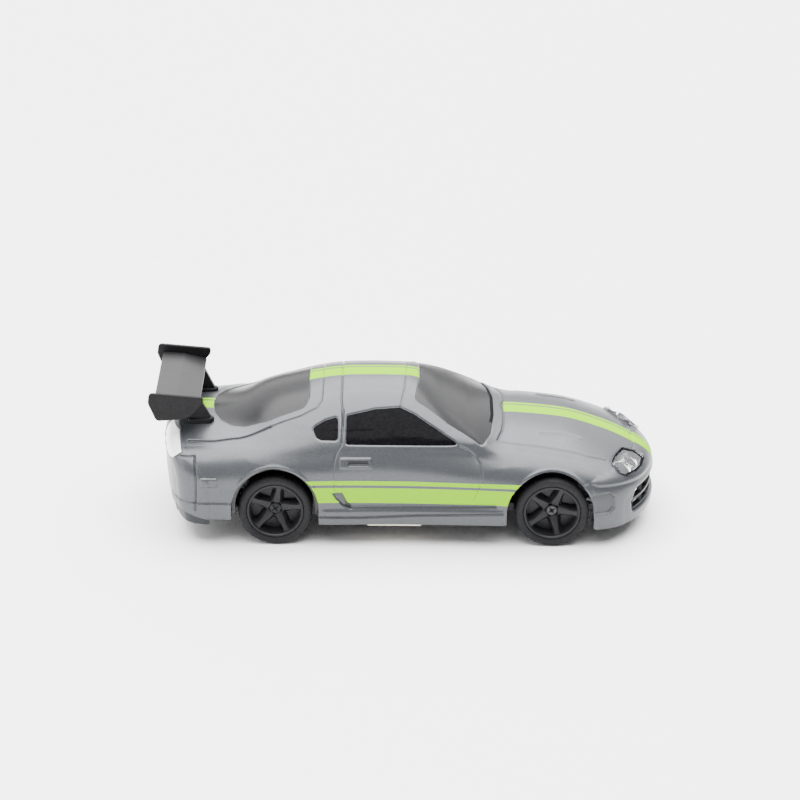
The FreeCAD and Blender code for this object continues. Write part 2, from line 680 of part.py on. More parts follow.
def steering_gears():
    """Servo gear, servo pinion and the rack teeth on the steering rod, in mesh at rest."""
    module = S["rack_module"]
    centre = Vector(P["servo_x"], 0, P["servo_low"])
    step = Vector(0, 0, 1.0)
    large = gear_step(S["servo_large_teeth"], module, centre, math.pi, *TOP_VIEW, step)
    small_base = Vector(P["servo_x"], 0, P["servo_low"])
    reach_up = Vector(0, 0, S["rod_height"] + S["rod_wall"] - P["servo_low"])
    facing_gap = math.pi / S["servo_small_teeth"] * (S["rack_teeth"] % 2)
    small = gear_step(S["servo_small_teeth"], module, small_base, facing_gap, *TOP_VIEW, reach_up)
    bore = Part.makeCylinder(S["pin_radius"] + S["running_gap"], 10, Vector(P["servo_x"], 0, 0))
    made("servo_gear", large.fuse(small).cut(bore))

    pinion_at = Vector(P["servo_motor_x"], 0, P["servo_low"])
    phase = math.pi / S["servo_pinion_teeth"]
    pinion = gear_step(S["servo_pinion_teeth"], module, pinion_at, phase, *TOP_VIEW, step)
    shaft = Part.makeCylinder(S["shaft_radius"], P["servo_motor_z"] + 1.5 - P["servo_low"], pinion_at)
    made("servo_pinion", pinion.fuse(shaft))

    pitch = math.pi * module
    slope = math.tan(PRESSURE)
    tip, root = ADDENDUM * module, DEDENDUM * module
    points = []
    count = int(S["rack_teeth"])
    for tooth in range(count + 1):
        gap_y = (tooth - count / 2) * pitch
        half_root = pitch / 4 + BACKLASH / 2 - root * slope
        half_tip = pitch / 4 + BACKLASH / 2 + tip * slope
        if tooth:
            points.append((P["rack_x"] - tip, gap_y - half_tip))
            points.append((P["rack_x"] + root, gap_y - half_root))
        if tooth < count:
            points.append((P["rack_x"] + root, gap_y + half_root))
            points.append((P["rack_x"] - tip, gap_y + half_tip))
    back = P["rod_back"] + 0.3
    points = [(back, points[0][1])] + points + [(back, points[-1][1])]
    corners = [Vector(x, y, S["rod_height"]) for x, y in points]
    rack = Part.Face(Part.makePolygon(corners + [corners[0]])).extrude(Vector(0, 0, S["rod_wall"]))
    half = P["king_y"] + 0.75
    bar = Part.makeBox(S["rod_depth"], 2 * half, S["rod_wall"],
                       Vector(P["rod_back"], -half, S["rod_height"]))
    slot_half = S["steer_pin_radius"] + S["running_gap"] + 0.02
    sweep = S["steer_arm"] * (1 - math.cos(math.radians(S["steer_limit"])))
    slots = []
    for side in (-1, 1):
        low = Vector(P["arm_x"] - slot_half - 0.05, side * P["king_y"] - slot_half, 0)
        slots.append(Part.makeBox(2 * slot_half + 0.1 + sweep, 2 * slot_half, 20, low))
    made("steering_rod", bar.fuse(rack).cut(slots))


# ----------------------------------------------------------------------- chassis
def build_chassis():
    """Floor with uprights, lugs and pillars, and what is fastened straight to it."""
    floor = fuse(
        box("rear_axle_x + tyre_radius + 0.8", "-(body_width / 2 - 2.2)", "floor_height",
            "wheelbase - 2 * tyre_radius - steer_room - 1.6", "body_width - 4.4", "floor_wall"),
        box("rear_axle_x - 8.4", "-(wheel_in - 0.8)", "floor_height",
            "8.4 + tyre_radius + 1", "2 * (wheel_in - 0.8)", "floor_wall"),
        box("rear_axle_x - tail_floor", "-2.6", "floor_height", "tail_floor - 7.0", "5.2", "floor_wall"),
        box("front_x - tyre_radius - steer_room - 1.5", "-(king_y - 1)", "floor_height",
            "tyre_radius + steer_room + 11.5", "2 * (king_y - 1)", "floor_wall"),
    )
    adds = [floor]
    # Right gearbox wall, left axle upright and the wall that the motor is fastened to.
    adds.append(box("rear_axle_x - 2.2", "-wall_out", "floor_height",
                    "idler_x - rear_axle_x + 5.0", "wall", "gear_roof - floor_height"))
    adds.append(box("rear_axle_x - 2.2", "wall_out - wall", "floor_height",
                    "4.4", "wall", "axle_z + bushing_radius + 0.9 - floor_height"))
    adds.append(box("rear_axle_x + axle_radius + 0.4", "-plate_y", "floor_height",
                    "motor_x - rear_axle_x + motor_radius - axle_radius - 0.4", "wall",
                    "gear_roof - floor_height"))
    # Saddle under the motor and the posts that carry the gearbox cover.
    adds.append(box("motor_x - 2.2", "-(plate_y - 3)", "floor_height",
                    "4.4", "1.2", "motor_z - floor_height - 1.0"))
    for x in ("rear_axle_x - 3.6", "motor_x + 2.3"):
        adds.append(rod(x, "-gear_a", "floor_height", "0.9", "gear_roof - floor_height"))
    for side in (-1, 1):
        # Kingpin lugs and the pillars of the steering plate.
        adds.append(rod("front_x", f"{side} * king_y", "floor_height", "1.2", "1.2"))
        adds.append(box("front_x - 1.1", f"{side} * (king_y - 0.7) - 0.8", "floor_height",
                        "2.2", "1.6", "1.2"))
        adds.append(rod("front_x + 3.2", f"{side} * 3.6", "floor_height", "1.0", "plate_z - floor_height"))
        # Legs under the circuit board and walls beside the battery.
        for x in ("battery_back + 1", "battery_front - 1"):
            adds.append(rod(x, f"{side} * (battery_width / 2 + 1.2)", "floor_height", "0.8",
                            "board_z - floor_height"))
        # Legs of the servo bracket.
        adds.append(box("servo_motor_x - servo_motor_radius - 0.6",
                        f"{side} * (servo_motor_radius + 1.1) - 0.5", "floor_height",
                        "3.2", "1.0", "servo_motor_z + 0.3 - floor_height"))
    adds.append(rod("servo_x", "0", "floor_height", "pin_radius", "plate_z - 0.3 - floor_height"))
    holes = [
        rod("motor_x", "-(plate_y + 0.5)", "motor_z", "motor_radius * 0.34 + press_gap", "wall + 1", "y"),
        rod("motor_x", "-motor_y", "motor_z", "motor_radius + 0.02", "motor_length + 1", "y"),
        rod("idler_x", "-(wall_out + 0.5)", "idler_z", "pin_radius + press_gap",
            "wall_out - motor_y + 1", "y"),
        box("rear_axle_x - 3.2", "-(gear_b + 0.15)", "0", "6.4", "gear_width + 0.3", "floor_top + 1"),
        box("rear_post_x - 2", "-2", "floor_top", "4", "4", "30"),
        rod("rear_post_x", "0", "0", "screw_radius + 0.15", "floor_top + 1"),
        rod("front_post_x", "0", "0", "screw_radius + 0.15", "floor_top + 1"),
        rod("rear_post_x", "0", "floor_height - 1", "screw_head_radius + 0.1", "1.05 + screw_head"),
        rod("front_post_x", "0", "floor_height - 1", "screw_head_radius + 0.1", "1.05 + screw_head"),
        box("battery_back + 1", "side_y - 1.5", "0", "socket_width + 0.2", "2.7", "floor_top + 1"),
        box("battery_back + 1.5", "-(side_y + 0.5)", "0", "switch_travel + 1.6", "1.0", "floor_top + 1"),
    ]
    for side in (-1, 1):
        y = f"{side} * (wall_out - wall / 2) - 1"
        holes.append(rod("rear_axle_x", y, "axle_z", "bushing_radius + press_gap", "2", "y"))
        holes.append(rod("front_x", f"{side} * king_y", "0", "pin_radius + running_gap", "10"))
        holes.append(rod("front_x + 3.2", f"{side} * 3.6", "plate_z - 2.5", "screw_radius + press_gap", "3"))
    for x in ("rear_axle_x - 3.6", "motor_x + 2.3"):
        holes.append(rod(x, "-gear_a", "gear_roof - 3", "screw_radius + press_gap", "3.5"))
    name_node(cut(fuse(*adds), *holes), "chassis_plate")

    name_node(rod("idler_x", "-wall_out", "idler_z", "pin_radius", "wall_out - motor_y - 0.1", "y"),
              "idler_pin")
    rings = [cut(rod("rear_axle_x", f"{side} * (wall_out - wall / 2) - 0.4", "axle_z",
                     "bushing_radius", "0.8", "y"),
                 rod("rear_axle_x", f"{side} * (wall_out - wall / 2) - 1", "axle_z",
                     "axle_radius + running_gap", "2", "y")) for side in (-1, 1)]
    name_node(fuse(*rings), "axle_bushings")
    lid = box("rear_axle_x - 4.6", "-wall_out", "gear_roof",
              "motor_x - rear_axle_x + 7.9", "wall_out - motor_y", "wall")
    lid_holes = [rod(x, "-gear_a", "gear_roof - 1", "screw_radius + 0.1", "3")
                 for x in ("rear_axle_x - 3.6", "motor_x + 2.3")]
    name_node(cut(lid, *lid_holes), "gearbox_cover")
    heads = [(x, "-gear_a", "gear_roof + wall") for x in ("rear_axle_x - 3.6", "motor_x + 2.3")]
    heads += [("front_x + 3.2", f"{side} * 3.6", "plate_z + wall") for side in (-1, 1)]
    name_node(screws(heads, -1), "cover_screws")
    name_node(screws([(x, "0", "floor_height") for x in ("rear_post_x", "front_post_x")], 1),
              "body_screws")
    tabs = ("servo_motor_x - 12.0", "-(body_width / 2 - 0.55)", "sill_height - 0.22")
    name_node(box(*tabs, "7.0", "1.55", "0.17"), "sill_latch_r")
    mirrored("sill_latch_l", nodes["sill_latch_r"])


def screws(heads, rise):
    """Screws whose heads sit at the given points and whose shanks run up or down."""
    parts = []
    for x, y, z in heads:
        low = f"({z})" if rise < 0 else f"({z}) + 0.05"
        shank = f"({z}) - 2.6" if rise < 0 else f"({z}) + 0.3"
        cap = rod(x, y, low, "screw_head_radius", "screw_head")
        cross = box(f"({x}) - 0.6", f"({y}) - 0.12", f"{low} + (screw_head - 0.2) * {int(rise < 0)}",
                    "1.2", "0.24", "0.2")
        parts.append(fuse(cut(cap, cross), rod(x, y, shank, "screw_radius", "2.7")))
    return fuse(*parts)


def build_power():
    """Drive motor, battery, circuit board, charging socket and power switch."""
    can = rod("motor_x", "-(motor_y - press_gap)", "motor_z", "motor_radius", "motor_length", "y")
    boss = rod("motor_x", "-(plate_y)", "motor_z", "motor_radius * 0.34", "wall + 0.1", "y")
    tail = rod("motor_x", "-motor_y + motor_length", "motor_z", "motor_radius * 0.4", "0.5", "y")
    bore = rod("motor_x", "-(plate_y + 1)", "motor_z", "shaft_radius + running_gap", "4.2", "y")
    name_node(cut(fuse(can, boss, tail), bore), "drive_motor")

    pack = doc.addObject("PartDesign::Body", "BatteryPack")
    sketch = pack.newObject("Sketcher::SketchObject", "CellOutline")
    sketch.AttachmentSupport = [(origin_plane(pack, "YZ_Plane"), "")]
    sketch.MapMode = "FlatFace"
    corner_cell(sketch)
    pad = pack.newObject("PartDesign::Pad", "CellLength")
    pad.Profile = sketch
    bind(pad, Length="battery_length")
    bind(pack, x="battery_back", z="floor_top + 0.1")
    name_node(pack, "battery")

    board = box("battery_back - 0.2", "-board_width / 2", "board_z",
                "battery_length + 0.4", "board_width", "board_wall")
    chips = [box("battery_back + 2.4", "-2.1", "board_z + board_wall - 0.05", "4.2", "4.2", "0.9"),
             box("battery_back + 0.6", "3.4", "board_z + board_wall - 0.05", "2.6", "1.2", "0.7"),
             box("battery_back + 5.2", "-6.2", "board_z + board_wall - 0.05", "1.6", "2.4", "0.6"),
             box("battery_back + 7.4", "2.6", "board_z + board_wall - 0.05", "1.2", "3.6", "0.5")]
    name_node(fuse(board, *chips), "circuit_board")

    case = box("battery_back + 1.1", "side_y - 1.4", "floor_height + 0.1", "socket_width", "2.5", "4.4")
    mouth = box("battery_back + 1.35", "side_y - 1.15", "floor_height", "socket_width - 0.5", "2.0", "3.6")
    tongue = box("battery_back + 2.0", "side_y - 0.4", "floor_height + 0.5",
                 "socket_width - 1.8", "0.5", "3.4")
    name_node(fuse(cut(case, mouth), tongue), "usb_socket")

    block = box("battery_back + 0.6", "-(side_y + 1.2)", "floor_top", "switch_travel + 3.6", "2.4", "2.2")
    room = box("battery_back + 1.1", "-(side_y + 0.75)", "floor_top + 0.2",
               "switch_travel + 2.6", "1.5", "1.2")
    slot = box("battery_back + 1.5", "-(side_y + 0.5)", "floor_top - 1", "switch_travel + 1.6", "1.0", "1.5")
    name_node(cut(block, room, slot), "switch_housing")
    slide = box("battery_back + 1.3", "-(side_y + 0.65)", "floor_top + 0.3", "2.0", "1.3", "1.0")
    nub = box("battery_back + 1.75", "-(side_y + 0.4)", "floor_height - 0.35", "1.0", "0.8",
              "floor_top - floor_height + 1.0")
    name_node(fuse(slide, nub), "switch_slider")


def origin_plane(body, role):
    return next(item for item in body.Origin.OriginFeatures if item.Role == role)


def corner_cell(sketch):
    """Rounded end outline of the battery cell, centred across the car."""
    width, height = S["battery_width"], S["battery_height"]
    half = width / 2
    corners = [(-half, 0), (half, 0), (half, height), (-half, height)]
    for i, (y, z) in enumerate(corners):
        next_y, next_z = corners[(i + 1) % 4]
        sketch.addGeometry(Part.LineSegment(Vector(y, z, 0), Vector(next_y, next_z, 0)), False)
    for i in range(4):
        sketch.addConstraint(Sketcher.Constraint("Coincident", i, 2, (i + 1) % 4, 1))
    for i in (0, 2):
        sketch.addConstraint(Sketcher.Constraint("Horizontal", i))
        sketch.addConstraint(Sketcher.Constraint("Vertical", i + 1))
    sketch.addConstraint(Sketcher.Constraint("Symmetric", 0, 1, 0, 2, -1, 1))
    wide = sketch.addConstraint(Sketcher.Constraint("DistanceX", 0, 1, 0, 2, width))
    tall = sketch.addConstraint(Sketcher.Constraint("DistanceY", 1, 1, 1, 2, height))
    sketch.setExpression(f"Constraints[{wide}]", sheet_text("battery_width"))
    sketch.setExpression(f"Constraints[{tall}]", sheet_text("battery_height"))


def build_steering():
    """Steering plate, servo motor and bracket, and the two knuckles."""
    plate = fuse(box("front_x - 1.3", "-(king_y + 1.2)", "plate_z", "2.6", "2 * king_y + 2.4", "wall"),
                 box("front_x - 1.3", "-4.6", "plate_z", "5.6", "9.2", "wall"))
    holes = [rod("front_x", f"{side} * king_y", "plate_z - 1", "pin_radius + running_gap", "4")
             for side in (-1, 1)]
    holes += [rod("front_x + 3.2", f"{side} * 3.6", "plate_z - 1", "screw_radius + 0.1", "4")
              for side in (-1, 1)]
    name_node(cut(plate, *holes), "steering_plate")

    can = rod("servo_motor_x", "0", "servo_motor_z", "servo_motor_radius", "servo_motor_length")
    bore = rod("servo_motor_x", "0", "servo_motor_z - 1", "shaft_radius + running_gap", "2.7")
    name_node(cut(can, bore), "servo_motor")
    ring = box("servo_motor_x - servo_motor_radius - 0.6", "-(servo_motor_radius + 1.6)",
               "servo_motor_z + 0.3", "2 * servo_motor_radius + 0.6", "2 * servo_motor_radius + 3.2", "2.4")
    hole = rod("servo_motor_x", "0", "servo_motor_z - 1", "servo_motor_radius + press_gap", "9")
    name_node(cut(ring, hole), "servo_bracket")

    pin = rod("front_x", "-king_y", "floor_height + 0.2", "pin_radius",
              "plate_z + wall - floor_height - 0.2")
    block = rod("front_x", "-king_y", "floor_height + 1.35", "1.1", "plate_z - floor_height - 1.5")
    stub = rod("front_x", "-(wheel_out - hub_recess + 0.33)", "axle_z", "stub_radius",
               "wheel_out - hub_recess + 0.33 - king_y", "y")
    shoulder = rod("front_x", "-(wheel_in - 0.2)", "axle_z", "1.0", "wheel_in - 0.2 - king_y", "y")
    arm = box("arm_x - 0.6", "-(king_y + 0.6)", "floor_height + 1.35",
              "steer_arm + 0.6", "1.2", "rod_height - floor_height - 1.65")
    post = rod("arm_x", "-king_y", "floor_height + 1.6", "steer_pin_radius",
               "rod_height + rod_wall + 0.2 - floor_height - 1.6")
    bore = rod("front_x", "-(wheel_out - hub_recess + 1)", "axle_z", "0.3 + press_gap", "2.8", "y")
    name_node(cut(fuse(pin, block, stub, shoulder, arm, post), bore), "knuckle_r")
    mirrored("knuckle_l", nodes["knuckle_r"])
    head = rod("front_x", "-(wheel_out - hub_recess + 0.75)", "axle_z", "0.85", "0.4", "y")
    shank = rod("front_x", "-(wheel_out - hub_recess + 0.45)", "axle_z", "0.3", "2.1", "y")
    name_node(fuse(head, shank), "wheel_screw_r")
    mirrored("wheel_screw_l", nodes["wheel_screw_r"])


# ------------------------------------------------------------------------ wheels
def build_wheels():
    """Rims with spokes and slick tyres; the rear pair is fast on the axle."""
    axle = rod("rear_axle_x", "-(wheel_out - hub_recess - 0.4)", "axle_z", "axle_radius",
               "2 * (wheel_out - hub_recess - 0.4)", "y")
    name_node(axle, "rear_axle")
    for end, x, bore in (("rear", "rear_axle_x", "axle_radius + press_gap"),
                         ("front", "front_x", "stub_radius + running_gap")):
        barrel = cut(rod(x, "-wheel_out", "axle_z", "rim_radius", "tyre_width", "y"),
                     rod(x, "-(wheel_out + 1)", "axle_z", "rim_radius - rim_wall", "tyre_width + 2", "y"))
        disc = rod(x, "-(wheel_out - hub_recess - 1)", "axle_z", "rim_radius - rim_wall / 2", "0.5", "y")
        hub = rod(x, "-(wheel_out - hub_recess)", "axle_z", "hub_radius", "tyre_width - hub_recess - 0.1", "y")
        spokes = []
        for i in range(int(S["spoke_count"])):
            spoke = doc.addObject("Part::Box", "Spoke")
            turn = Rotation(Vector(0, 1, 0), 360.0 * i / S["spoke_count"])
            offset = turn.multVec(Vector(-S["spoke_width"] / 2, 0, 0))
            spoke.Placement = Placement(Vector(), turn)
            bind(spoke, Length="spoke_width", Width="spoke_depth", Height="rim_radius - rim_wall / 2",
                 x=f"{x} + {offset.x / S['spoke_width']:.6f} * spoke_width",
                 y="-(wheel_out - hub_recess + 0.3)",
                 z=f"axle_z + {offset.z / S['spoke_width']:.6f} * spoke_width")
            spokes.append(spoke)
        hole = rod(x, "-(wheel_out + 1)", "axle_z", bore, "tyre_width + 2", "y")
        name_node(cut(fuse(barrel, disc, hub, *spokes), hole), f"{end}_rim_r")
        mirrored(f"{end}_rim_l", nodes[f"{end}_rim_r"])
        build_tyre(f"{end}_tyre_r", x)
        mirrored(f"{end}_tyre_l", nodes[f"{end}_tyre_r"])


def build_tyre(name, x):
    """Low-profile slick tyre, revolved about its axle."""
    tyre = cut(rod(x, "-wheel_out", "axle_z", "tyre_radius", "tyre_width", "y"),
               rod(x, "-(wheel_out + 1)", "axle_z", "rim_radius + press_gap", "tyre_width + 2", "y"))
    doc.recompute()
    rounded = doc.addObject("Part::Fillet", "Shoulders")
    rounded.Base = tyre
    rim_edges = [(i + 1, 0.5, 0.5) for i, edge in enumerate(tyre.Shape.Edges)
                 if edge.Closed and abs(edge.Curve.Radius - S["tyre_radius"]) < 1e-6]
    rounded.Edges = rim_edges
    name_node(rounded, name)


# -------------------------------------------------------------------------- wing
BLADE = [(-15.9, 18.55), (-15.95, 18.95), (-13.0, 18.75), (-10.05, 18.0), (-10.0, 17.8), (-13.0, 18.1)]
END_PLATE = [(-16.7, 19.0), (-16.2, 20.05), (-9.75, 19.5), (-9.7, 18.4), (-10.9, 16.6), (-15.6, 16.1)]
STAND = [(-8.2, 14.75), (-9.7, 17.75), (-13.4, 18.1), (-11.7, 14.6)]
STAND_FOOT = [(-12.1, 15.25), (-8.0, 15.25), (-8.0, 14.0), (-12.1, 14.0)]


def wing_slab(outline, near, far, radius):
    """Slab across the car between two distances from its middle."""
    points = [Vector(place(x, 0, z).x, near, place(x, 0, z).z) for x, z in outline]
    return prism(points, radius, Vector(0, far - near, 0))


def build_wing():
    half = S["wing_half"]
    made("wing_blade", wing_slab(BLADE, -half, half, 0.08))
    plate = wing_slab(END_PLATE, -half - S["plate_wall"], -half, 0.7)
    inner = S["stand_y"] - S["stand_wall"] / 2
    above = wing_slab(BLADE, -half, half, 0.08)
    deck = body_inset(0.0)
    stand = wing_slab(STAND, -inner - S["stand_wall"], -inner, 0.2)
    foot = wing_slab(STAND_FOOT, -inner - S["stand_wall"] - 0.45, -inner + 0.45, 0.5)
    foot = foot.common(body_inset(-0.3))
    stand = stand.fuse(foot).cut([above, deck])
    stand = max(stand.Solids, key=lambda solid: solid.Volume)
    for piece, shape in (("wing_endplate", plate), ("wing_stand", stand)):
        made(piece + "_r", shape)
        made(piece + "_l", left_of(shape))


def check_and_write():
    """Refuse a failed feature or an empty shape, then write every sub-part."""
    doc.recompute()
    for item in doc.Objects:
        if "Invalid" in item.State or "Error" in item.State:
            raise RuntimeError(f"{item.Name} ({item.Label}) did not build: {item.State}")
    for name, item in nodes.items():
        shape = item.Shape
        if shape.isNull() or not shape.isValid() or shape.Volume <= 0 or not shape.Solids:
            raise RuntimeError(f"{name} is empty or not a valid solid")
    os.makedirs("parts", exist_ok=True)
    for name, item in nodes.items():
        item.Shape.exportStep(os.path.join("parts", f"{name}.step"))


build_body()
build_wells()
build_chassis()
drive_gears()
steering_gears()
build_power()
build_steering()
build_wheels()
build_wing()
check_and_write()
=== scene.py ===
"""Looks of the palm-size RC drift car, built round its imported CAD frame.

Lengths are in mm with X counted from the rear axle, until in_frame() turns them into the car's metres.
"""

import json
import math

import bpy
import numpy as np
from mathutils import Matrix, Vector


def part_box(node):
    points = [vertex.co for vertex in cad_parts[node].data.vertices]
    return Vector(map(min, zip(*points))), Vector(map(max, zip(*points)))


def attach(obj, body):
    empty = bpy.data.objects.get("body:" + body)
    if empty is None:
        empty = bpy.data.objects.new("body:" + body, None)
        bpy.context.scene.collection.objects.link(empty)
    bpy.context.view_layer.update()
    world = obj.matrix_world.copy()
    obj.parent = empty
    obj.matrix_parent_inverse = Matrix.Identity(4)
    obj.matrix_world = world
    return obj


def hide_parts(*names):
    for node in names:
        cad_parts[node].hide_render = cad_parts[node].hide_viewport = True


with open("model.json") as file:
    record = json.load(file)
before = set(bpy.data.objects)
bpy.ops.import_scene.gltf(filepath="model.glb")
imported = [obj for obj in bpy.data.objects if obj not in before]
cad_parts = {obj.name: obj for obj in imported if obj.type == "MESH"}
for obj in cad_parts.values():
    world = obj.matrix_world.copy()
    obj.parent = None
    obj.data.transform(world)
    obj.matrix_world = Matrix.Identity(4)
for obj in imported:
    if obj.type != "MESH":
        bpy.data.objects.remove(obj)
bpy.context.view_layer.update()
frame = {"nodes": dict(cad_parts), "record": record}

AXLE_LOW, AXLE_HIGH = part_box("rear_axle")
REAR_X = (AXLE_LOW.x + AXLE_HIGH.x) * 500
BASE = 36.5
AXLE_Z = 4.9
NOSE_X = 50.75
NOSE_SWEEP = 9.8
NOSE_HALF = 13.15
ARCH_Z = 5.5
ARCH_RADIUS = 5.75
CREASE_X = 40.8
SKIRT_TOP = 5.35
DIFFUSER_FOOT = 2.95
FAR = 9.0
FORM_LOW = np.array([-16.2, -14.0, 2.2])
FORM_HIGH = np.array([52.0, 14.0, 21.0])


# ---------------------------------------------------------------- body form
WAIST = np.array([(-16, 12.6), (-14, 14.3), (-12.6, 14.95), (-9.7, 15.05), (-4, 15.6), (4, 16.2),
                  (12, 16.35), (20, 15.9), (29, 14.95), (34, 14.6), (38, 14.15), (43.3, 12.6),
                  (47.4, 10.7), (50.2, 8.9), (51.5, 7.9)], float)


def line_slopes(xs, zs):
    """Slopes of the monotone cubic through the points."""
    run, rise = np.diff(xs), np.diff(zs)
    steep = rise / run
    slopes = np.zeros(len(xs))
    for i in range(1, len(xs) - 1):
        if steep[i - 1] * steep[i] > 0:
            near, far = 2 * run[i] + run[i - 1], run[i] + 2 * run[i - 1]
            slopes[i] = (near + far) / (near / steep[i - 1] + far / steep[i])
    slopes[0], slopes[-1] = steep[0], steep[-1]
    return slopes


WAIST_SLOPES = line_slopes(WAIST[:, 0], WAIST[:, 1])


def waist_height(x):
    xs, zs = WAIST[:, 0], WAIST[:, 1]
    i = np.clip(np.searchsorted(xs, x) - 1, 0, len(xs) - 2)
    run = xs[i + 1] - xs[i]
    t = np.clip((x - xs[i]) / run, 0, 1)
    return ((2 * t**3 - 3 * t**2 + 1) * zs[i] + (t**3 - 2 * t**2 + t) * run * WAIST_SLOPES[i]
            + (3 * t**2 - 2 * t**3) * zs[i + 1] + (t**3 - t**2) * run * WAIST_SLOPES[i + 1])


def smooth_max(a, b, k):
    h = np.clip(0.5 + 0.5 * (a - b) / k, 0, 1)
    return b + (a - b) * h + 0.5 * k * h * (1 - h)


def smooth_min(a, b, k):
    return -smooth_max(-a, -b, k)


def hump(x, middle, width):
    return np.exp(-((x - middle) / width) ** 2)


def lower_body(x, y, z):
    a = np.abs(y)
    top = waist_height(x) - a * a / 54 - 0.055 * np.maximum(a - 8.5, 0) ** 2
    half = 12.95 + 0.35 * hump(x, 0, 7) + 0.25 * hump(x, BASE, 6.5) - 0.25 * hump(x, 17, 9)
    half = half - 0.012 * np.maximum(z - 7, 0) ** 2 - 0.02 * np.maximum(6 - z, 0) ** 2
    sweep = NOSE_SWEEP * (1 - np.sqrt(1 - np.minimum(a / NOSE_HALF, 0.9995) ** 2))
    nose = NOSE_X - 0.035 * np.abs(z - 6) ** 1.9 * np.where(z > 6, 0.9, 0.7) - sweep
    t = np.minimum(a / 13.2, 0.9995)
    tail = -14.95 + 0.018 * np.abs(z - 10.5) ** 1.9 + 5.6 * (1 - (1 - t**2.6) ** (1 / 2.6))
    depth = smooth_max(0.95 * (z - top), a - half, 2.6)
    depth = smooth_max(depth, 0.8 * (x - nose), 2.0)
    return smooth_max(depth, 0.9 * (tail - x), 1.8)


def cabin(x, y, z):
    crown = y * y / 26
    screen = 19.95 - 0.505 * (x + y * y / 36 - 18.6)
    roof = 20.12 - (x - 13.3) ** 2 / 150 - crown
    rear = 19.25 + 0.27 * (x - 4.5) - 0.0085 * (x - 4.5) ** 2 + 0.45 * hump(x, -1.6, 3.9) - crown
    top = smooth_min(smooth_min(roof, rear, 0.6), screen, 1.3)
    back = np.maximum(4 - x, 0)
    half = smooth_min(7.9 + 0.86 * (18 - z), 11.35, 1.2)
    half = half - 0.006 * np.maximum(x - 19, 0) ** 2 - 0.05 * back - 0.004 * back**2
    depth = smooth_max(0.93 * (z - top), 0.76 * (np.abs(y) - half), 1.6)
    return smooth_max(depth, 10.5 - z, 0.5)


def form(p):
    x, y, z = p[:, 0], p[:, 1], p[:, 2]
    return smooth_min(lower_body(x, y, z), cabin(x, y, z), 1.2)


def gradient(function, p, step=0.01):
    slopes = []
    for axis in range(3):
        offset = np.zeros(3)
        offset[axis] = step
        slopes.append((function(p + offset) - function(p - offset)) / (2 * step))
    return np.stack(slopes, 1)


def unit(v):
    return v / np.maximum(np.linalg.norm(v, axis=1, keepdims=True), 1e-12)


def onto_form(p, turns=3):
    for turn in range(turns):
        slope = gradient(form, p)
        p = p - slope * (form(p) / np.maximum((slope**2).sum(1), 1e-9))[:, None]
    return p


# ------------------------------------------------------------ outlines, lines
def rounded(points, radius, steps=4):
    """Outline with every corner rounded."""
    points = np.array(points, float)
    out = []
    for i, corner in enumerate(points):
        back, ahead = points[i - 1] - corner, points[(i + 1) % len(points)] - corner
        lb, la = np.linalg.norm(back), np.linalg.norm(ahead)
        back, ahead = back / lb, ahead / la
        turn = math.acos(np.clip(back @ ahead, -1, 1)) / 2
        trim = min(radius / math.tan(turn), 0.45 * lb, 0.45 * la)
        start, end = corner + back * trim, corner + ahead * trim
        for s in range(steps + 1):
            t = s / steps
            out.append((1 - t) ** 2 * start + 2 * t * (1 - t) * corner + t * t * end)
    return np.array(out)


def line_distance(q, line):
    """Distance to a line through points."""
    best = np.full(len(q), 1e3)
    for a, b in zip(line[:-1], line[1:]):
        ab = b - a
        t = np.clip(((q - a) @ ab) / max(ab @ ab, 1e-12), 0, 1)
        best = np.minimum(best, np.linalg.norm(q - a - t[:, None] * ab, axis=1))
    return best


def outline_distance(q, outline):
    """Signed distance to a closed outline, below zero inside."""
    closed = np.vstack([outline, outline[:1]])
    inside = np.zeros(len(q), bool)
    for a, b in zip(closed[:-1], closed[1:]):
        if a[1] == b[1]:
            continue
        crosses = (a[1] > q[:, 1]) != (b[1] > q[:, 1])
        inside ^= crosses & (q[:, 0] < (b[0] - a[0]) * (q[:, 1] - a[1]) / (b[1] - a[1]) + a[0])
    return np.where(inside, -1, 1) * line_distance(q, closed)


VIEWS = {"top": (0, 1), "side": (0, 2), "end": (1, 2)}


def flat(p, view):
    """Points seen in a view, folded onto the car's left half."""
    q = np.abs(p[:, [1]])
    folded = np.hstack([p[:, :1], q, p[:, 2:]])
    return folded[:, VIEWS[view]]


def near_outline(view, outline, where):
    """Signed distance to an outline seen in a view, only where the zone holds."""
    def distance(p):
        out = np.full(len(p), FAR)
        use = where(p)
        out[use] = outline_distance(flat(p[use], view), outline)
        return out
    return distance


def near_line(view, line, where):
    """Distance to a line seen in a view, only where the zone holds."""
    line = np.array(line, float)

    def distance(p):
        out = np.full(len(p), FAR)
        use = where(p)
        out[use] = line_distance(flat(p[use], view), line)
        return out
    return distance


def form_normal_z(p):
    return unit(gradient(form, p))[:, 2]


def upper(p):
    return p[:, 2] > 11.0


def flank(p):
    return np.abs(p[:, 1]) > 6.0


def lamp_zone(p):
    return (p[:, 2] > 8.0) & (p[:, 0] > 40)


def tail_zone(p):
    return p[:, 0] < -10.4


def nose_zone(p):
    return p[:, 0] > 44.5


def both(outline):
    return outline + [(a, -b) for a, b in reversed(outline)]


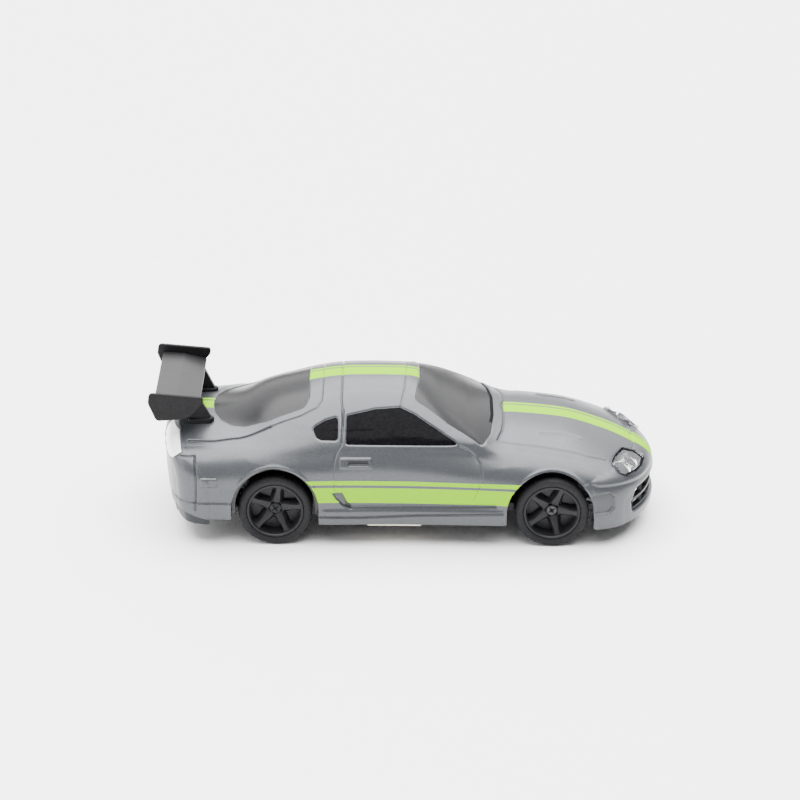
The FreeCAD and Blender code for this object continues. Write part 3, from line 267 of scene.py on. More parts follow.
WINDSCREEN = rounded(both([(18.95, 2.5), (18.4, 6.5), (22.7, 9.05), (27.3, 10.75), (28.4, 7.6),
                           (28.9, 3.0)]), 0.8)
REAR_WINDOW = rounded(both([(-8.6, 0.8), (-8.25, 3.0), (-7.3, 5.0), (-5.9, 6.4), (-4.2, 7.15), (-0.8, 7.5),
                            (3.7, 6.85), (4.3, 5.3)]), 1.0)
DOOR_WINDOW = rounded([(9.35, 17.05), (9.3, 14.08), (24.5, 13.98), (21.2, 15.72), (18.3, 17.2),
                       (16.4, 17.86), (13.1, 17.7)], 0.35)
QUARTER = rounded([(8.25, 16.95), (6.5, 16.5), (4.85, 15.7), (5.4, 14.75), (6.1, 14.5), (8.27, 14.5)], 0.45)
HEADLIGHT = rounded([(44.26, 9.0), (44.8, 7.45), (46.0, 4.9), (47.4, 4.2), (48.9, 4.6), (48.5, 6.65),
                     (47.6, 8.4), (46.3, 10.0), (45.4, 10.25)], 0.5)
TAILLIGHT = rounded([(3.6, 14.2), (6.9, 14.15), (9.4, 13.9), (10.6, 13.4), (10.9, 12.3), (10.3, 11.6),
                     (8.7, 11.3), (3.6, 11.2)], 0.4)
INTAKE = rounded([(-10.2, 5.5), (-9.2, 7.3), (9.2, 7.3), (10.2, 5.5), (9.9, 3.9), (-9.9, 3.9)], 0.6)


def arch_distance(p):
    """Signed distance to the wheel openings, below zero inside."""
    best = np.full(len(p), FAR)
    for x in (0.0, BASE):
        drop = 0.0 if x == 0.0 else 0.45
        dx, dz = p[:, 0] - x + 0.5 * drop, p[:, 2] - ARCH_Z + drop
        ring = np.where(dz > 0, np.hypot(dx, dz), np.abs(dx)) - ARCH_RADIUS
        best = np.minimum(best, ring)
    return np.where(np.abs(p[:, 1]) > 6, best, FAR)


def foot_distance(p):
    """Height over the lower edge of the rear bumper, the sills and the front bumper."""
    lift = np.clip((p[:, 0] - 41.6) / 0.8, 0, 1)
    return p[:, 2] - np.where(p[:, 0] < 0, 3.9, 3.2 - 0.6 * lift)


def diffuser_foot(p):
    """Height over the lower edge of the diffuser."""
    return p[:, 2] - DIFFUSER_FOOT


def diffuser_distance(p):
    """Below zero in the region of the diffuser under the tail."""
    return np.maximum(p[:, 0] + 8.6, p[:, 2] - 4.85 + 0.3 * (p[:, 0] + 12.2))


def lamp_distance(p):
    """Below zero inside the taillights, which end on a slanted line round the corner."""
    corner = p[:, 0] + 12.75 + 0.33 * (p[:, 2] - 14.0)
    return np.maximum(near_outline("end", TAILLIGHT, tail_zone)(p), corner)


CUTS = {
    "windscreen": near_outline("top", WINDSCREEN, upper),
    "rear_window": near_outline("top", REAR_WINDOW, upper),
    "door_window": near_outline("side", DOOR_WINDOW, flank),
    "quarter_window": near_outline("side", QUARTER, flank),
    "headlight": near_outline("top", HEADLIGHT, lamp_zone),
    "taillight": lamp_distance,
    "intake": near_outline("end", INTAKE, nose_zone),
    "arch": arch_distance,
    "diffuser": diffuser_distance,
}


def rear_part(p):
    return upper(p) & (p[:, 0] < 12)


def cowl(p):
    return upper(p) & (p[:, 0] > 20)


def low_side(p):
    return flank(p) & (np.abs(p[:, 1]) > 9.0)


def wrap_rear(p):
    return (p[:, 0] < -5) & (p[:, 2] < 13.0) & (np.abs(p[:, 1]) > 4)


# Panel lines: where they run, then their half width, their depth and how much painted shade darkens them.
GROOVES = [
    (near_line("top", [(6.15, 0), (6.06, 5.0), (5.95, 6.4), (5.3, 7.3), (3.2, 8.0), (-0.7, 8.5)], rear_part),
     0.13, 0.10, 0.25),
    (near_line("top", [(-0.7, 8.5), (-4.7, 9.1), (-8.0, 9.3), (-11.4, 9.0)], rear_part), 0.16, 0.20, 0.6),
    (near_line("top", [(8.7, 0), (8.65, 6.5), (8.8, 8.1), (8.9, 9.6)], rear_part), 0.13, 0.12, 0.3),
    (near_line("top", [(17.3, 0), (16.9, 4.8), (16.4, 7.6)], upper), 0.12, 0.08, 0.15),
    (near_line("side", [(8.85, 14.15), (8.45, 13.6), (8.1, 13.0), (7.85, 12.3), (7.75, 11.4), (7.75, 10.5),
                        (7.9, 8.2)], low_side), 0.12, 0.10, 0.15),
    (near_line("side", [(24.3, 13.9), (25.3, 13.4), (26.2, 12.6), (26.9, 11.7), (27.2, 10.8), (27.15, 9.6),
                        (26.8, 8.3), (26.2, 7.0)], low_side), 0.12, 0.10, 0.15),
    (near_line("top", [(29.9, 0), (30.2, 1.85), (30.15, 4.5), (29.9, 6.5), (29.3, 8.6)], cowl),
     0.14, 0.14, 0.35),
    (near_line("top", [(29.5, 8.6), (32.2, 8.95), (37.5, 9.25), (41.5, 9.25), (43.9, 8.8)], cowl),
     0.14, 0.08, 0.1),
    (near_line("top", [(47.3, 0), (47.7, 1.5), (47.6, 4.0)], lamp_zone), 0.12, 0.10, 0.2),
    (near_line("side", [(-10.5, 12.2), (-10.35, 9.6), (-10.45, 5.3)], wrap_rear), 0.14, 0.18, 0.5),
    (near_line("end", [(12.0, 12.25), (10.1, 12.25)], tail_zone), 0.12, 0.10, 0.3),
    (near_line("side", [(5.9, 4.4), (11.2, 4.3), (19.1, 4.65), (30.0, 5.0)], low_side), 0.14, 0.16, 0.5),
    (near_line("side", [(9.4, 6.1), (10.3, 5.75), (16.5, 5.85), (25.7, 6.0), (29.0, 6.1)], low_side),
     0.26, 0.14, 0.4),
    (near_line("side", [(8.95, 17.5), (8.75, 14.3)], flank), 0.12, 0.14, 0.35),
    # No gap: it only asks for a fine mesh along the lip of the rear bumper.
    (near_line("side", [(-12.8, 6.2), (-5.6, 6.2)], low_side), 0.10, 0.0, 0.0),
]
HANDLE = rounded([(8.56, 11.3), (12.62, 11.3), (12.62, 12.5), (8.56, 12.5)], 0.2)
GRIP = rounded([(9.7, 11.62), (12.3, 11.62), (12.3, 12.2), (9.7, 12.2)], 0.12)
MARKER = rounded([(-9.77, 8.67), (-7.55, 8.67), (-7.55, 9.79), (-9.77, 9.79)], 0.15)
NOTCH = rounded([(7.5, 7.75), (8.0, 6.9), (9.0, 5.95), (10.2, 5.4), (9.5, 6.5), (8.85, 7.85)], 0.12)
FOG = rounded([(41.7, 4.9), (44.0, 4.9), (44.8, 5.6), (44.8, 7.1), (44.0, 7.8), (41.7, 7.6)], 0.3)
VENT_LINE = near_line("top", [(35.1, 6.6), (37.6, 6.15), (39.9, 6.1)], cowl)
BOXES = [(near_outline("side", HANDLE, low_side), 0.16), (near_outline("side", MARKER, low_side), 0.18)]
SINKS = [(near_outline("side", GRIP, low_side), 0.34), (near_outline("side", NOTCH, low_side), 0.34),
         (near_outline("side", FOG, low_side), 0.40)]
CREASE = np.array([(40.8, 9.6), (42.6, 8.9), (44.6, 8.75), (46.6, 8.6), (48.6, 8.3), (50.6, 8.2)])


def step(distance, width):
    """Smooth step: one inside an outline, nought outside."""
    return 0.5 - 0.5 * np.tanh(distance / width)


def relief(p):
    """Height of the grooves, frames and lips over the smooth form."""
    height = np.zeros(len(p))
    for distance, width, depth, shade_amount in GROOVES:
        if depth:
            height -= depth * np.exp(-((distance(p) / width) ** 2))
    for distance, rise in BOXES:
        height += rise * step(distance(p), 0.10)
    for distance, fall in SINKS:
        height -= fall * step(distance(p), 0.08)
    below = np.interp(p[:, 0], CREASE[:, 0], CREASE[:, 1]) - p[:, 2]
    drop = step(-below, 0.14) * np.exp(-np.maximum(below, 0) / 1.4)
    shelf = np.where((p[:, 0] > CREASE_X) & (p[:, 2] < 11), drop, 0)
    height -= 0.34 * shelf * np.clip((p[:, 0] - CREASE_X) / 1.5, 0, 1)
    outside = np.sign(np.abs(p[:, 1]) - 6.25)
    height += 0.13 * np.exp(-((VENT_LINE(p) / 0.32) ** 2)) * outside
    ring = arch_distance(p)
    height += 0.08 * np.exp(-(((ring - 0.22) / 0.18) ** 2)) * (np.abs(p[:, 1]) > 6)
    skirt = low_side(p) & (p[:, 0] > 5.5) & (p[:, 0] < 31)
    fade = step(5.6 - p[:, 0] + 0.6, 0.4) * step(p[:, 0] - 30.2, 0.4)
    height += np.where(skirt, 0.22 * step(p[:, 2] - SKIRT_TOP, 0.22) * fade, 0)
    lip = low_side(p) & (p[:, 0] < -5.2)
    height += np.where(lip, 0.16 * step(p[:, 2] - 6.25, 0.12), 0)
    for name in ("windscreen", "rear_window", "door_window", "quarter_window", "headlight", "taillight",
                 "intake"):
        height -= 0.10 * np.exp(-((CUTS[name](p) / 0.11) ** 2))
    height -= 0.12 * np.exp(-((foot_distance(p) / 0.14) ** 2))
    return height


def top_band(low, high):
    """Stripe along the top between two distances from the middle, below zero inside."""
    def distance(p):
        x, y, z = p[:, 0], p[:, 1], p[:, 2]
        band = np.maximum(np.maximum(low - y, y - high), 7.9 - z)
        gap = np.minimum(x - 28.0, 30.25 - x)
        band = np.maximum(band, gap)
        return np.where((form_normal_z(p) > 0.12) & (x > -13.2), band, FAR)
    return distance


def side_band(low, high):
    """Stripe along the doors between two heights over its foot line, below zero inside."""
    def distance(p):
        x, z = p[:, 0], p[:, 2]
        foot = 6.45 - 0.012 * (x - 6)
        band = np.maximum(foot + low - z, z - foot - high)
        band = np.maximum(band, np.maximum(3.0 - x, x - 33.5))
        band = np.maximum(band, -outline_distance(flat(p, "side"), NOTCH))
        return np.where(np.abs(p[:, 1]) > 9, band, FAR)
    return distance


STRIPES = [top_band(-1.6, 0.65), top_band(0.98, 1.55), side_band(0.0, 2.15), side_band(2.52, 3.12)]


# ------------------------------------------------------------------- meshing
def surface_nets(low, high, pitch):
    """Even quad net over the form inside a box."""
    axes = [np.arange(low[i], high[i] + pitch / 2, pitch) for i in range(3)]
    shape = [len(a) for a in axes]
    corners = np.stack(np.meshgrid(*axes, indexing="ij"), -1).reshape(-1, 3)
    value = form(corners).reshape(shape)
    inside = value < 0
    total = np.zeros([n - 1 for n in shape] + [3])
    count = np.zeros([n - 1 for n in shape])
    crossings = []
    for axis in range(3):
        a = [slice(None)] * 3
        b = [slice(None)] * 3
        a[axis], b[axis] = slice(None, -1), slice(1, None)
        a, b = tuple(a), tuple(b)
        cross = np.argwhere(inside[a] != inside[b])
        shift = np.eye(3, dtype=int)[axis]
        va = value[tuple(cross.T)]
        vb = value[tuple((cross + shift).T)]
        t = va / (va - vb)
        point = low + pitch * (cross + t[:, None] * shift)
        others = [i for i in range(3) if i != axis]
        cells = []
        for da, db in ((0, 0), (-1, 0), (-1, -1), (0, -1)):
            cell = cross.copy()
            cell[:, others[0]] += da
            cell[:, others[1]] += db
            cells.append(cell)
        cells = np.stack(cells, 1)
        limit = np.array(shape) - 1
        whole = ((cells >= 0) & (cells < limit)).all((1, 2))
        for corner in range(4):
            fits = ((cells[:, corner] >= 0) & (cells[:, corner] < limit)).all(1)
            where = tuple(cells[fits, corner].T)
            np.add.at(total, where, point[fits])
            np.add.at(count, where, 1)
        turned = (va[whole] < 0) ^ (axis == 1)
        quads = cells[whole]
        quads[~turned] = quads[~turned][:, ::-1]
        crossings.append(quads)
    number = -np.ones(count.shape, int)
    live = count > 0
    number[live] = np.arange(live.sum())
    points = total[live] / count[live][:, None]
    quads = np.vstack(crossings)
    quads = number[quads[..., 0], quads[..., 1], quads[..., 2]]
    return points, quads


def relax(points, quads, turns):
    """Even out a quad net while its points stay on the form."""
    edges = np.vstack([quads[:, [0, 1]], quads[:, [1, 2]], quads[:, [2, 3]], quads[:, [3, 0]]])
    both_ways = np.vstack([edges, edges[:, ::-1]])
    degree = np.bincount(both_ways[:, 0], minlength=len(points)).astype(float)
    key = np.sort(edges, 1)
    unique, uses = np.unique(key, axis=0, return_counts=True)
    border = np.zeros(len(points), bool)
    border[unique[uses == 1].ravel()] = True
    for turn in range(turns):
        mean = np.zeros_like(points)
        np.add.at(mean, both_ways[:, 0], points[both_ways[:, 1]])
        mean /= np.maximum(degree, 1)[:, None]
        points = np.where(border[:, None], points, 0.5 * points + 0.5 * mean)
        points = onto_form(points, 1)
    return onto_form(points)


def triangulate(points, quads):
    """Cut every quad along its shorter diagonal."""
    a = np.linalg.norm(points[quads[:, 0]] - points[quads[:, 2]], axis=1)
    b = np.linalg.norm(points[quads[:, 1]] - points[quads[:, 3]], axis=1)
    pick = (a <= b)[:, None]
    first = np.where(pick, quads[:, [0, 1, 2]], quads[:, [0, 1, 3]])
    second = np.where(pick, quads[:, [0, 2, 3]], quads[:, [1, 2, 3]])
    return np.vstack([first, second])


def edge_table(tris):
    """Edges of the triangles, and the numbers of each triangle's three edges."""
    edges = np.sort(np.vstack([tris[:, [0, 1]], tris[:, [1, 2]], tris[:, [2, 0]]]), 1)
    unique, where = np.unique(edges, axis=0, return_inverse=True)
    return unique, where.reshape(3, -1).T


def split_marked(tris, sides, new_number):
    """Split triangles at edges that carry a new point, numbered in new_number."""
    mids = new_number[sides]
    count = (mids >= 0).sum(1)
    out = [tris[count == 0]]
    for turn in range(3):
        t = np.roll(tris, -turn, 1)
        m = np.roll(mids, -turn, 1)
        one = (count == 1) & (m[:, 0] >= 0)
        out += [np.stack([t[one, 0], m[one, 0], t[one, 2]], 1),
                np.stack([m[one, 0], t[one, 1], t[one, 2]], 1)]
        two = (count == 2) & (m[:, 2] < 0)
        out += [np.stack([m[two, 0], t[two, 1], m[two, 1]], 1),
                np.stack([t[two, 0], m[two, 0], m[two, 1]], 1),
                np.stack([t[two, 0], m[two, 1], t[two, 2]], 1)]
    full = count == 3
    t, m = tris[full], mids[full]
    out += [np.stack([t[:, 0], m[:, 0], m[:, 2]], 1), np.stack([m[:, 0], t[:, 1], m[:, 1]], 1),
            np.stack([m[:, 2], m[:, 1], t[:, 2]], 1), m]
    return np.vstack(out)


def refine(points, tris, wanted, pitch):
    """Halve the edges near a feature until they are no longer than pitch."""
    edges, sides = edge_table(tris)
    middle = (points[edges[:, 0]] + points[edges[:, 1]]) / 2
    length = np.linalg.norm(points[edges[:, 0]] - points[edges[:, 1]], axis=1)
    mark = (length > pitch) & wanted(middle)
    number = np.where(mark, len(points) + np.cumsum(mark) - 1, -1)
    tris = split_marked(tris, sides, number)
    return np.vstack([points, onto_form(middle[mark], 2)]), tris


def split_at(points, tris, distance):
    """Add points where the distance changes sign, so that edges follow its zero line."""
    value = distance(points)
    value = np.where(np.abs(value) < 1e-4, 1e-4, value)
    edges, sides = edge_table(tris)
    va, vb = value[edges[:, 0]], value[edges[:, 1]]
    mark = (va * vb < 0) & (np.maximum(np.abs(va), np.abs(vb)) < 2.0)
    t = (va[mark] / (va[mark] - vb[mark]))[:, None]
    fresh = points[edges[mark, 0]] * (1 - t) + points[edges[mark, 1]] * t
    number = np.where(mark, len(points) + np.cumsum(mark) - 1, -1)
    tris = split_marked(tris, sides, number)
    return np.vstack([points, fresh]), tris


def feature_reach(p):
    """Distance to the nearest feature that needs a fine mesh."""
    best = np.abs(foot_distance(p))
    for distance in CUTS.values():
        best = np.minimum(best, np.abs(distance(p)))
    for distance, width, depth, shade_amount in GROOVES:
        best = np.minimum(best, distance(p) - width)
    for distance, rise in BOXES + SINKS:
        best = np.minimum(best, np.abs(distance(p)))
    best = np.minimum(best, np.abs(arch_distance(p) - 0.28) - 0.2)
    best = np.minimum(best, VENT_LINE(p) - 0.2)
    for distance in STRIPES:
        best = np.minimum(best, np.abs(distance(p)) + 0.25)
    best = np.minimum(best, np.maximum(CUTS["headlight"](p), 0))
    shelf = np.interp(p[:, 0], CREASE[:, 0], CREASE[:, 1]) - p[:, 2]
    best = np.minimum(best, np.where((p[:, 0] > CREASE_X) & (p[:, 2] < 11), np.abs(shelf), FAR))
    skirt = np.where(low_side(p), np.abs(p[:, 2] - SKIRT_TOP), FAR)
    return np.minimum(best, skirt)


points, quads = surface_nets(FORM_LOW, FORM_HIGH, 0.5)
points = relax(points, quads, 6)
tris = triangulate(points, quads)
# How near a feature the mesh is refined, and to what edge length.
ROUNDS = (((0.9, 0.36), (0.5, 0.2), (0.3, 0.11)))
for reach_mm, pitch in ROUNDS:
    points, tris = refine(points, tris, lambda p: feature_reach(p) < reach_mm, pitch)
for name, distance in CUTS.items():
    points, tris = split_at(points, tris, distance)
points, tris = split_at(points, tris, foot_distance)
points, tris = split_at(points, tris, diffuser_foot)
for distance in STRIPES:
    points, tris = split_at(points, tris, distance)

centres = points[tris].mean(1)
kept = foot_distance(centres) > 0
piece_of = np.full(len(tris), "shell", dtype="U16")
for name, distance in CUTS.items():
    piece_of[distance(centres) < 0] = name
piece_of[~kept & (piece_of != "diffuser")] = "gone"
lime = np.min([distance(centres) for distance in STRIPES], axis=0) < 0

form_normals = unit(gradient(form, points))
rise = relief(points)
slope = gradient(relief, points, 0.02)
slope -= (slope * form_normals).sum(1, keepdims=True) * form_normals
relief_points = points + form_normals * rise[:, None]
relief_normals = unit(form_normals - slope)
# Painted shade: the paint is darkened inside the grooves, where shade falls.
PAINTED_SHADE = np.zeros(len(points))
for distance, width, depth, shade_amount in GROOVES:
    PAINTED_SHADE = np.maximum(PAINTED_SHADE, np.exp(-((distance(points) / width) ** 2)) * shade_amount)
# Painted shade inside the grip, the duct notch and the fog recess.
for (distance, fall), shade_amount in zip(SINKS, (0.75, 0.35, 0.45)):
    PAINTED_SHADE = np.maximum(PAINTED_SHADE, step(distance(points) + 0.03, 0.08) * shade_amount)
# Painted shade along the edges of the raised handle frame and side marker.
for distance, rise in BOXES:
    PAINTED_SHADE = np.maximum(PAINTED_SHADE, 0.3 * np.exp(-((distance(points) / 0.08) ** 2)))


# ------------------------------------------------------------------ materials
def node_of(tree, kind, **sockets):
    node = tree.nodes.new(kind)
    for name, value in sockets.items():
        node.inputs[name.replace("_", " ")].default_value = value
    return node


def material(name, base, rough, metallic=0.0, grain=800.0, spread=0.08, bump=0.0, coat=0.0,
             coat_rough=0.08, rough_spread=0.06, shine=0.5, alpha=1.0):
    """Procedural surface: a fine grain varies the colour, the roughness and the height."""
    made = bpy.data.materials.new(name)
    made.use_nodes = True
    tree = made.node_tree
    shader = tree.nodes["Principled BSDF"]
    place = tree.nodes.new("ShaderNodeTexCoord")
    fine = node_of(tree, "ShaderNodeTexNoise", Scale=grain, Detail=3.0, Roughness=0.6)
    broad = node_of(tree, "ShaderNodeTexNoise", Scale=grain / 14, Detail=2.0, Roughness=0.5)
    tree.links.new(place.outputs["Object"], fine.inputs["Vector"])
    tree.links.new(place.outputs["Object"], broad.inputs["Vector"])
    ramp = tree.nodes.new("ShaderNodeValToRGB")
    dark = [c * (1 - spread) for c in base[:3]] + [1]
    light = [min(c * (1 + spread) + 0.002, 1) for c in base[:3]] + [1]
    ramp.color_ramp.elements[0].position, ramp.color_ramp.elements[0].color = 0.35, dark
    ramp.color_ramp.elements[1].position, ramp.color_ramp.elements[1].color = 0.65, light
    tree.links.new(fine.outputs["Fac"], ramp.inputs["Fac"])
    tree.links.new(ramp.outputs["Color"], shader.inputs["Base Color"])
    rougher = tree.nodes.new("ShaderNodeMapRange")
    rougher.inputs["To Min"].default_value = max(rough - rough_spread, 0.02)
    rougher.inputs["To Max"].default_value = min(rough + rough_spread, 1.0)
    tree.links.new(broad.outputs["Fac"], rougher.inputs["Value"])
    tree.links.new(rougher.outputs["Result"], shader.inputs["Roughness"])
    if bump:
        lift = node_of(tree, "ShaderNodeBump", Strength=bump, Distance=0.00002)
        tree.links.new(fine.outputs["Fac"], lift.inputs["Height"])
        tree.links.new(lift.outputs["Normal"], shader.inputs["Normal"])
    shader.inputs["Metallic"].default_value = metallic
    shader.inputs["Coat Weight"].default_value = coat
    shader.inputs["Coat Roughness"].default_value = coat_rough
    shader.inputs["Specular IOR Level"].default_value = shine
    shader.inputs["Alpha"].default_value = alpha
    return made


def with_painted_shade(made, shade_tint):
    """Paint shade into the panel lines, recesses and frame edges, whose amount the attribute gap carries."""
    tree = made.node_tree
    shader = tree.nodes["Principled BSDF"]
    source = shader.inputs["Base Color"].links[0].from_socket
    gap = tree.nodes.new("ShaderNodeAttribute")
    gap.attribute_name = "gap"
    mix = tree.nodes.new("ShaderNodeMix")
    mix.data_type = "RGBA"
    tree.links.new(gap.outputs["Fac"], mix.inputs["Factor"])
    tree.links.new(source, mix.inputs[6])
    mix.inputs[7].default_value = shade_tint
    tree.links.new(mix.outputs[2], shader.inputs["Base Color"])
    return made


# Both paints carry painted shade in their grooves and recesses, in the tint given as the second argument.
PAINT = with_painted_shade(material("paint_silver_grey", (0.046, 0.050, 0.055), 0.34, metallic=0.3, grain=9000,
                              spread=0.22, bump=0.12, coat=0.12, coat_rough=0.25), (0.010, 0.011, 0.012, 1))
LIME = with_painted_shade(material("paint_lime", (0.205, 0.47, 0.0), 0.5, grain=6000, spread=0.03, bump=0.05,
                             shine=0.0), (0.10, 0.20, 0.0, 1))
SIDE_GLASS = material("side_glass", (0.0025, 0.0025, 0.003), 0.14, grain=2500, spread=0.2, bump=0.03,
                      shine=0.02)
SCREEN_GLASS = material("screen_glass", (0.006, 0.006, 0.007), 0.24, grain=2500, spread=0.2, bump=0.04,
                        shine=0.21)
SATIN = material("satin_black", (0.009, 0.009, 0.010), 0.42, grain=4000, spread=0.15, bump=0.12, shine=0.2)
WING_BLACK = material("wing_black", (0.009, 0.0088, 0.0095), 0.36, grain=4500, spread=0.12, bump=0.12,
                      shine=0.34)
PLATE_BLACK = material("plate_black", (0.007, 0.0068, 0.0075), 0.45, grain=4500, spread=0.12, bump=0.12,
                       shine=0.1)
TYRE = material("tyre_black", (0.009, 0.009, 0.010), 0.62, grain=3500, spread=0.2, bump=0.2, shine=0.15)
GREY = material("dark_grey_trim", (0.018, 0.0195, 0.022), 0.42, grain=4000, spread=0.1, bump=0.1, shine=0.2)
BLACK = material("inner_black_and_painted_shade", (0.003, 0.003, 0.0035), 0.7, grain=3000, spread=0.2, bump=0.1, shine=0.05)
CHROME = material("lamp_chrome", (0.42, 0.42, 0.44), 0.20, metallic=1.0, grain=3000, spread=0.04, bump=0.05)
LENS = material("clear_lens", (0.7, 0.7, 0.72), 0.06, grain=3000, spread=0.02, rough_spread=0.02, alpha=0.12)
TAIL_LENS = material("tail_lens", (0.8, 0.78, 0.77), 0.2, grain=3000, spread=0.05, coat=0.3)
CAD_SURFACES = {
    "chassis_black": material("chassis_black", (0.018, 0.018, 0.02), 0.5, grain=2500, spread=0.15, bump=0.15),
    "natural_nylon": material("natural_nylon", (0.78, 0.72, 0.58), 0.45, grain=2500, spread=0.05, bump=0.08),
    "steel": material("bright_steel", (0.55, 0.55, 0.57), 0.3, metallic=1.0, grain=5000, spread=0.1,
                      bump=0.1),
    "brass": material("brass", (0.72, 0.52, 0.2), 0.28, metallic=1.0, grain=4000, spread=0.08, bump=0.06),
    "battery_foil": material("battery_wrap", (0.05, 0.12, 0.42), 0.35, grain=2000, spread=0.1, bump=0.1),
    "board_green": material("board_green", (0.015, 0.14, 0.05), 0.4, grain=3000, spread=0.15, bump=0.08),
    "satin_black": SATIN, "tyre": TYRE, "paint": PAINT, "dark_glass": SIDE_GLASS, "lens": LENS,
    "lamp_chrome": CHROME, "dark_grey": GREY,
}


# -------------------------------------------------------------------- pieces
def in_frame(p):
    """Points in the car's frame, in metres."""
    return (p + np.array([REAR_X, 0, 0])) * 0.001


def mesh_piece(name, p, faces, surfaces, normals=None, indices=None, shade_amounts=None, smooth=True):
    mesh = bpy.data.meshes.new(name)
    mesh.from_pydata(in_frame(p).tolist(), [], [list(map(int, f)) for f in faces])
    for surface in surfaces:
        mesh.materials.append(surface)
    if indices is not None:
        mesh.polygons.foreach_set("material_index", np.array(indices, np.int32))
    mesh.polygons.foreach_set("use_smooth", np.full(len(faces), smooth))
    # The attribute gap holds how much painted shade darkens each point.
    if shade_amounts is not None:
        mesh.attributes.new("gap", "FLOAT", "POINT").data.foreach_set("value", np.array(shade_amounts, np.float32))
    if normals is not None:
        mesh.normals_split_custom_set_from_vertices(np.array(normals).tolist())
    mesh.update()
    item = bpy.data.objects.new(name, mesh)
    bpy.context.scene.collection.objects.link(item)
    return item


def settle(item, body, slot, *stands_for):
    """Fasten a piece to its body and hide the CAD nodes it stands for; slot is not used."""
    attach(item, body)
    if stands_for:
        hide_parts(*stands_for)
    return item


def compact(faces, *arrays):
    """Keep only the points that the faces use."""
    used, faces = np.unique(faces, return_inverse=True)
    return faces.reshape(-1, 3), [a[used] for a in arrays]


def border_strip(faces, p, normals, depth):
    """Wall that runs inwards from the border of a patch: points, faces and normals."""
    edges = np.vstack([faces[:, [0, 1]], faces[:, [1, 2]], faces[:, [2, 0]]])
    key = np.sort(edges, 1)
    unique, where, uses = np.unique(key, axis=0, return_inverse=True, return_counts=True)
    rim = edges[(uses[where.ravel()] == 1)]
    used, rim = np.unique(rim, return_inverse=True)
    rim = rim.reshape(-1, 2)
    top = p[used]
    along = np.zeros_like(top)
    outward = unit(np.cross(top[rim[:, 1]] - top[rim[:, 0]], normals[used][rim[:, 0]]))
    np.add.at(along, rim[:, 0], outward)
    np.add.at(along, rim[:, 1], outward)
    along = unit(along)
    low = top - normals[used] * depth
    n = len(used)
    wall = np.stack([rim[:, 1], rim[:, 0], rim[:, 0] + n, rim[:, 1] + n], 1)
    return np.vstack([top, low]), wall, np.vstack([along, along])


def patch(name, pick, surfaces, depth=0.0, wall=0.5, normals=None, base=None, indices=None, shade_amounts=None):
    """Piece made of the picked triangles, sunk by depth, with a wall round its border."""
    base = points if base is None else base
    normals = form_normals if normals is None else normals
    faces, (p, n, g) = compact(tris[pick], base - normals * depth, normals,
                               np.zeros(len(points)) if shade_amounts is None else shade_amounts)
    rim_p, rim_f, rim_n = border_strip(faces, p, n, wall)
    all_p, all_n = np.vstack([p, rim_p]), np.vstack([n, rim_n])
    all_f = [list(f) for f in faces] + [list(f) for f in rim_f + len(p)]
    slots = list(np.zeros(len(faces), int) if indices is None else indices[pick]) + [0] * len(rim_f)
    g = np.concatenate([g, np.zeros(len(rim_p))])
    return mesh_piece(name, all_p, all_f, surfaces, all_n, slots, g)


shell_pick = piece_of == "shell"
shell = patch("body_shell_visual", shell_pick, [PAINT, LIME], 0.0, 0.75, relief_normals, relief_points,
              lime.astype(int), PAINTED_SHADE)
settle(shell, "chassis", "paint", "body_shell")

right = centres[:, 1] < 0
# The big panes are shaded smoother than the form, whose roof and pillars blend into them.
pane_normals = form_normals.copy()
glazed = np.unique(tris[(piece_of == "windscreen") | (piece_of == "rear_window")])
total = np.zeros((len(glazed), 3))
for dx, dy in ((-1.5, 0), (1.5, 0), (0, -1.5), (0, 1.5), (0, 0), (0, -2.6), (0, 2.6)):
    shifted = points[glazed] + [dx, 0, 0]
    shifted[:, 1] += dy * np.clip(1 - np.abs(shifted[:, 1]) / 12, 0.2, 1)
    shifted[:, 1] *= 0.8
    total += unit(gradient(form, onto_form(shifted, 2)))
pane_normals[glazed] = unit(total)
SCREEN_SINK = 0.14
SIDE_PANE_SINK = 0.16
for name in ("windscreen", "rear_window"):
    # Painted shadow: a black band along the far front edge of the windscreen, on one side only, stands for
    # the shadow between glass and cowl.
    painted_shadow_strip = (name == "windscreen") & (CUTS["windscreen"](centres) > -0.42) & (centres[:, 0] > 25.6)
    painted_shadow_strip &= centres[:, 1] > -5.0
    pane = patch(f"{name}_visual", piece_of == name, [SCREEN_GLASS, BLACK], 0.0, 0.4, pane_normals,
                 points - form_normals * SCREEN_SINK, painted_shadow_strip.astype(int))
    settle(pane, "chassis", "dark_glass", name)
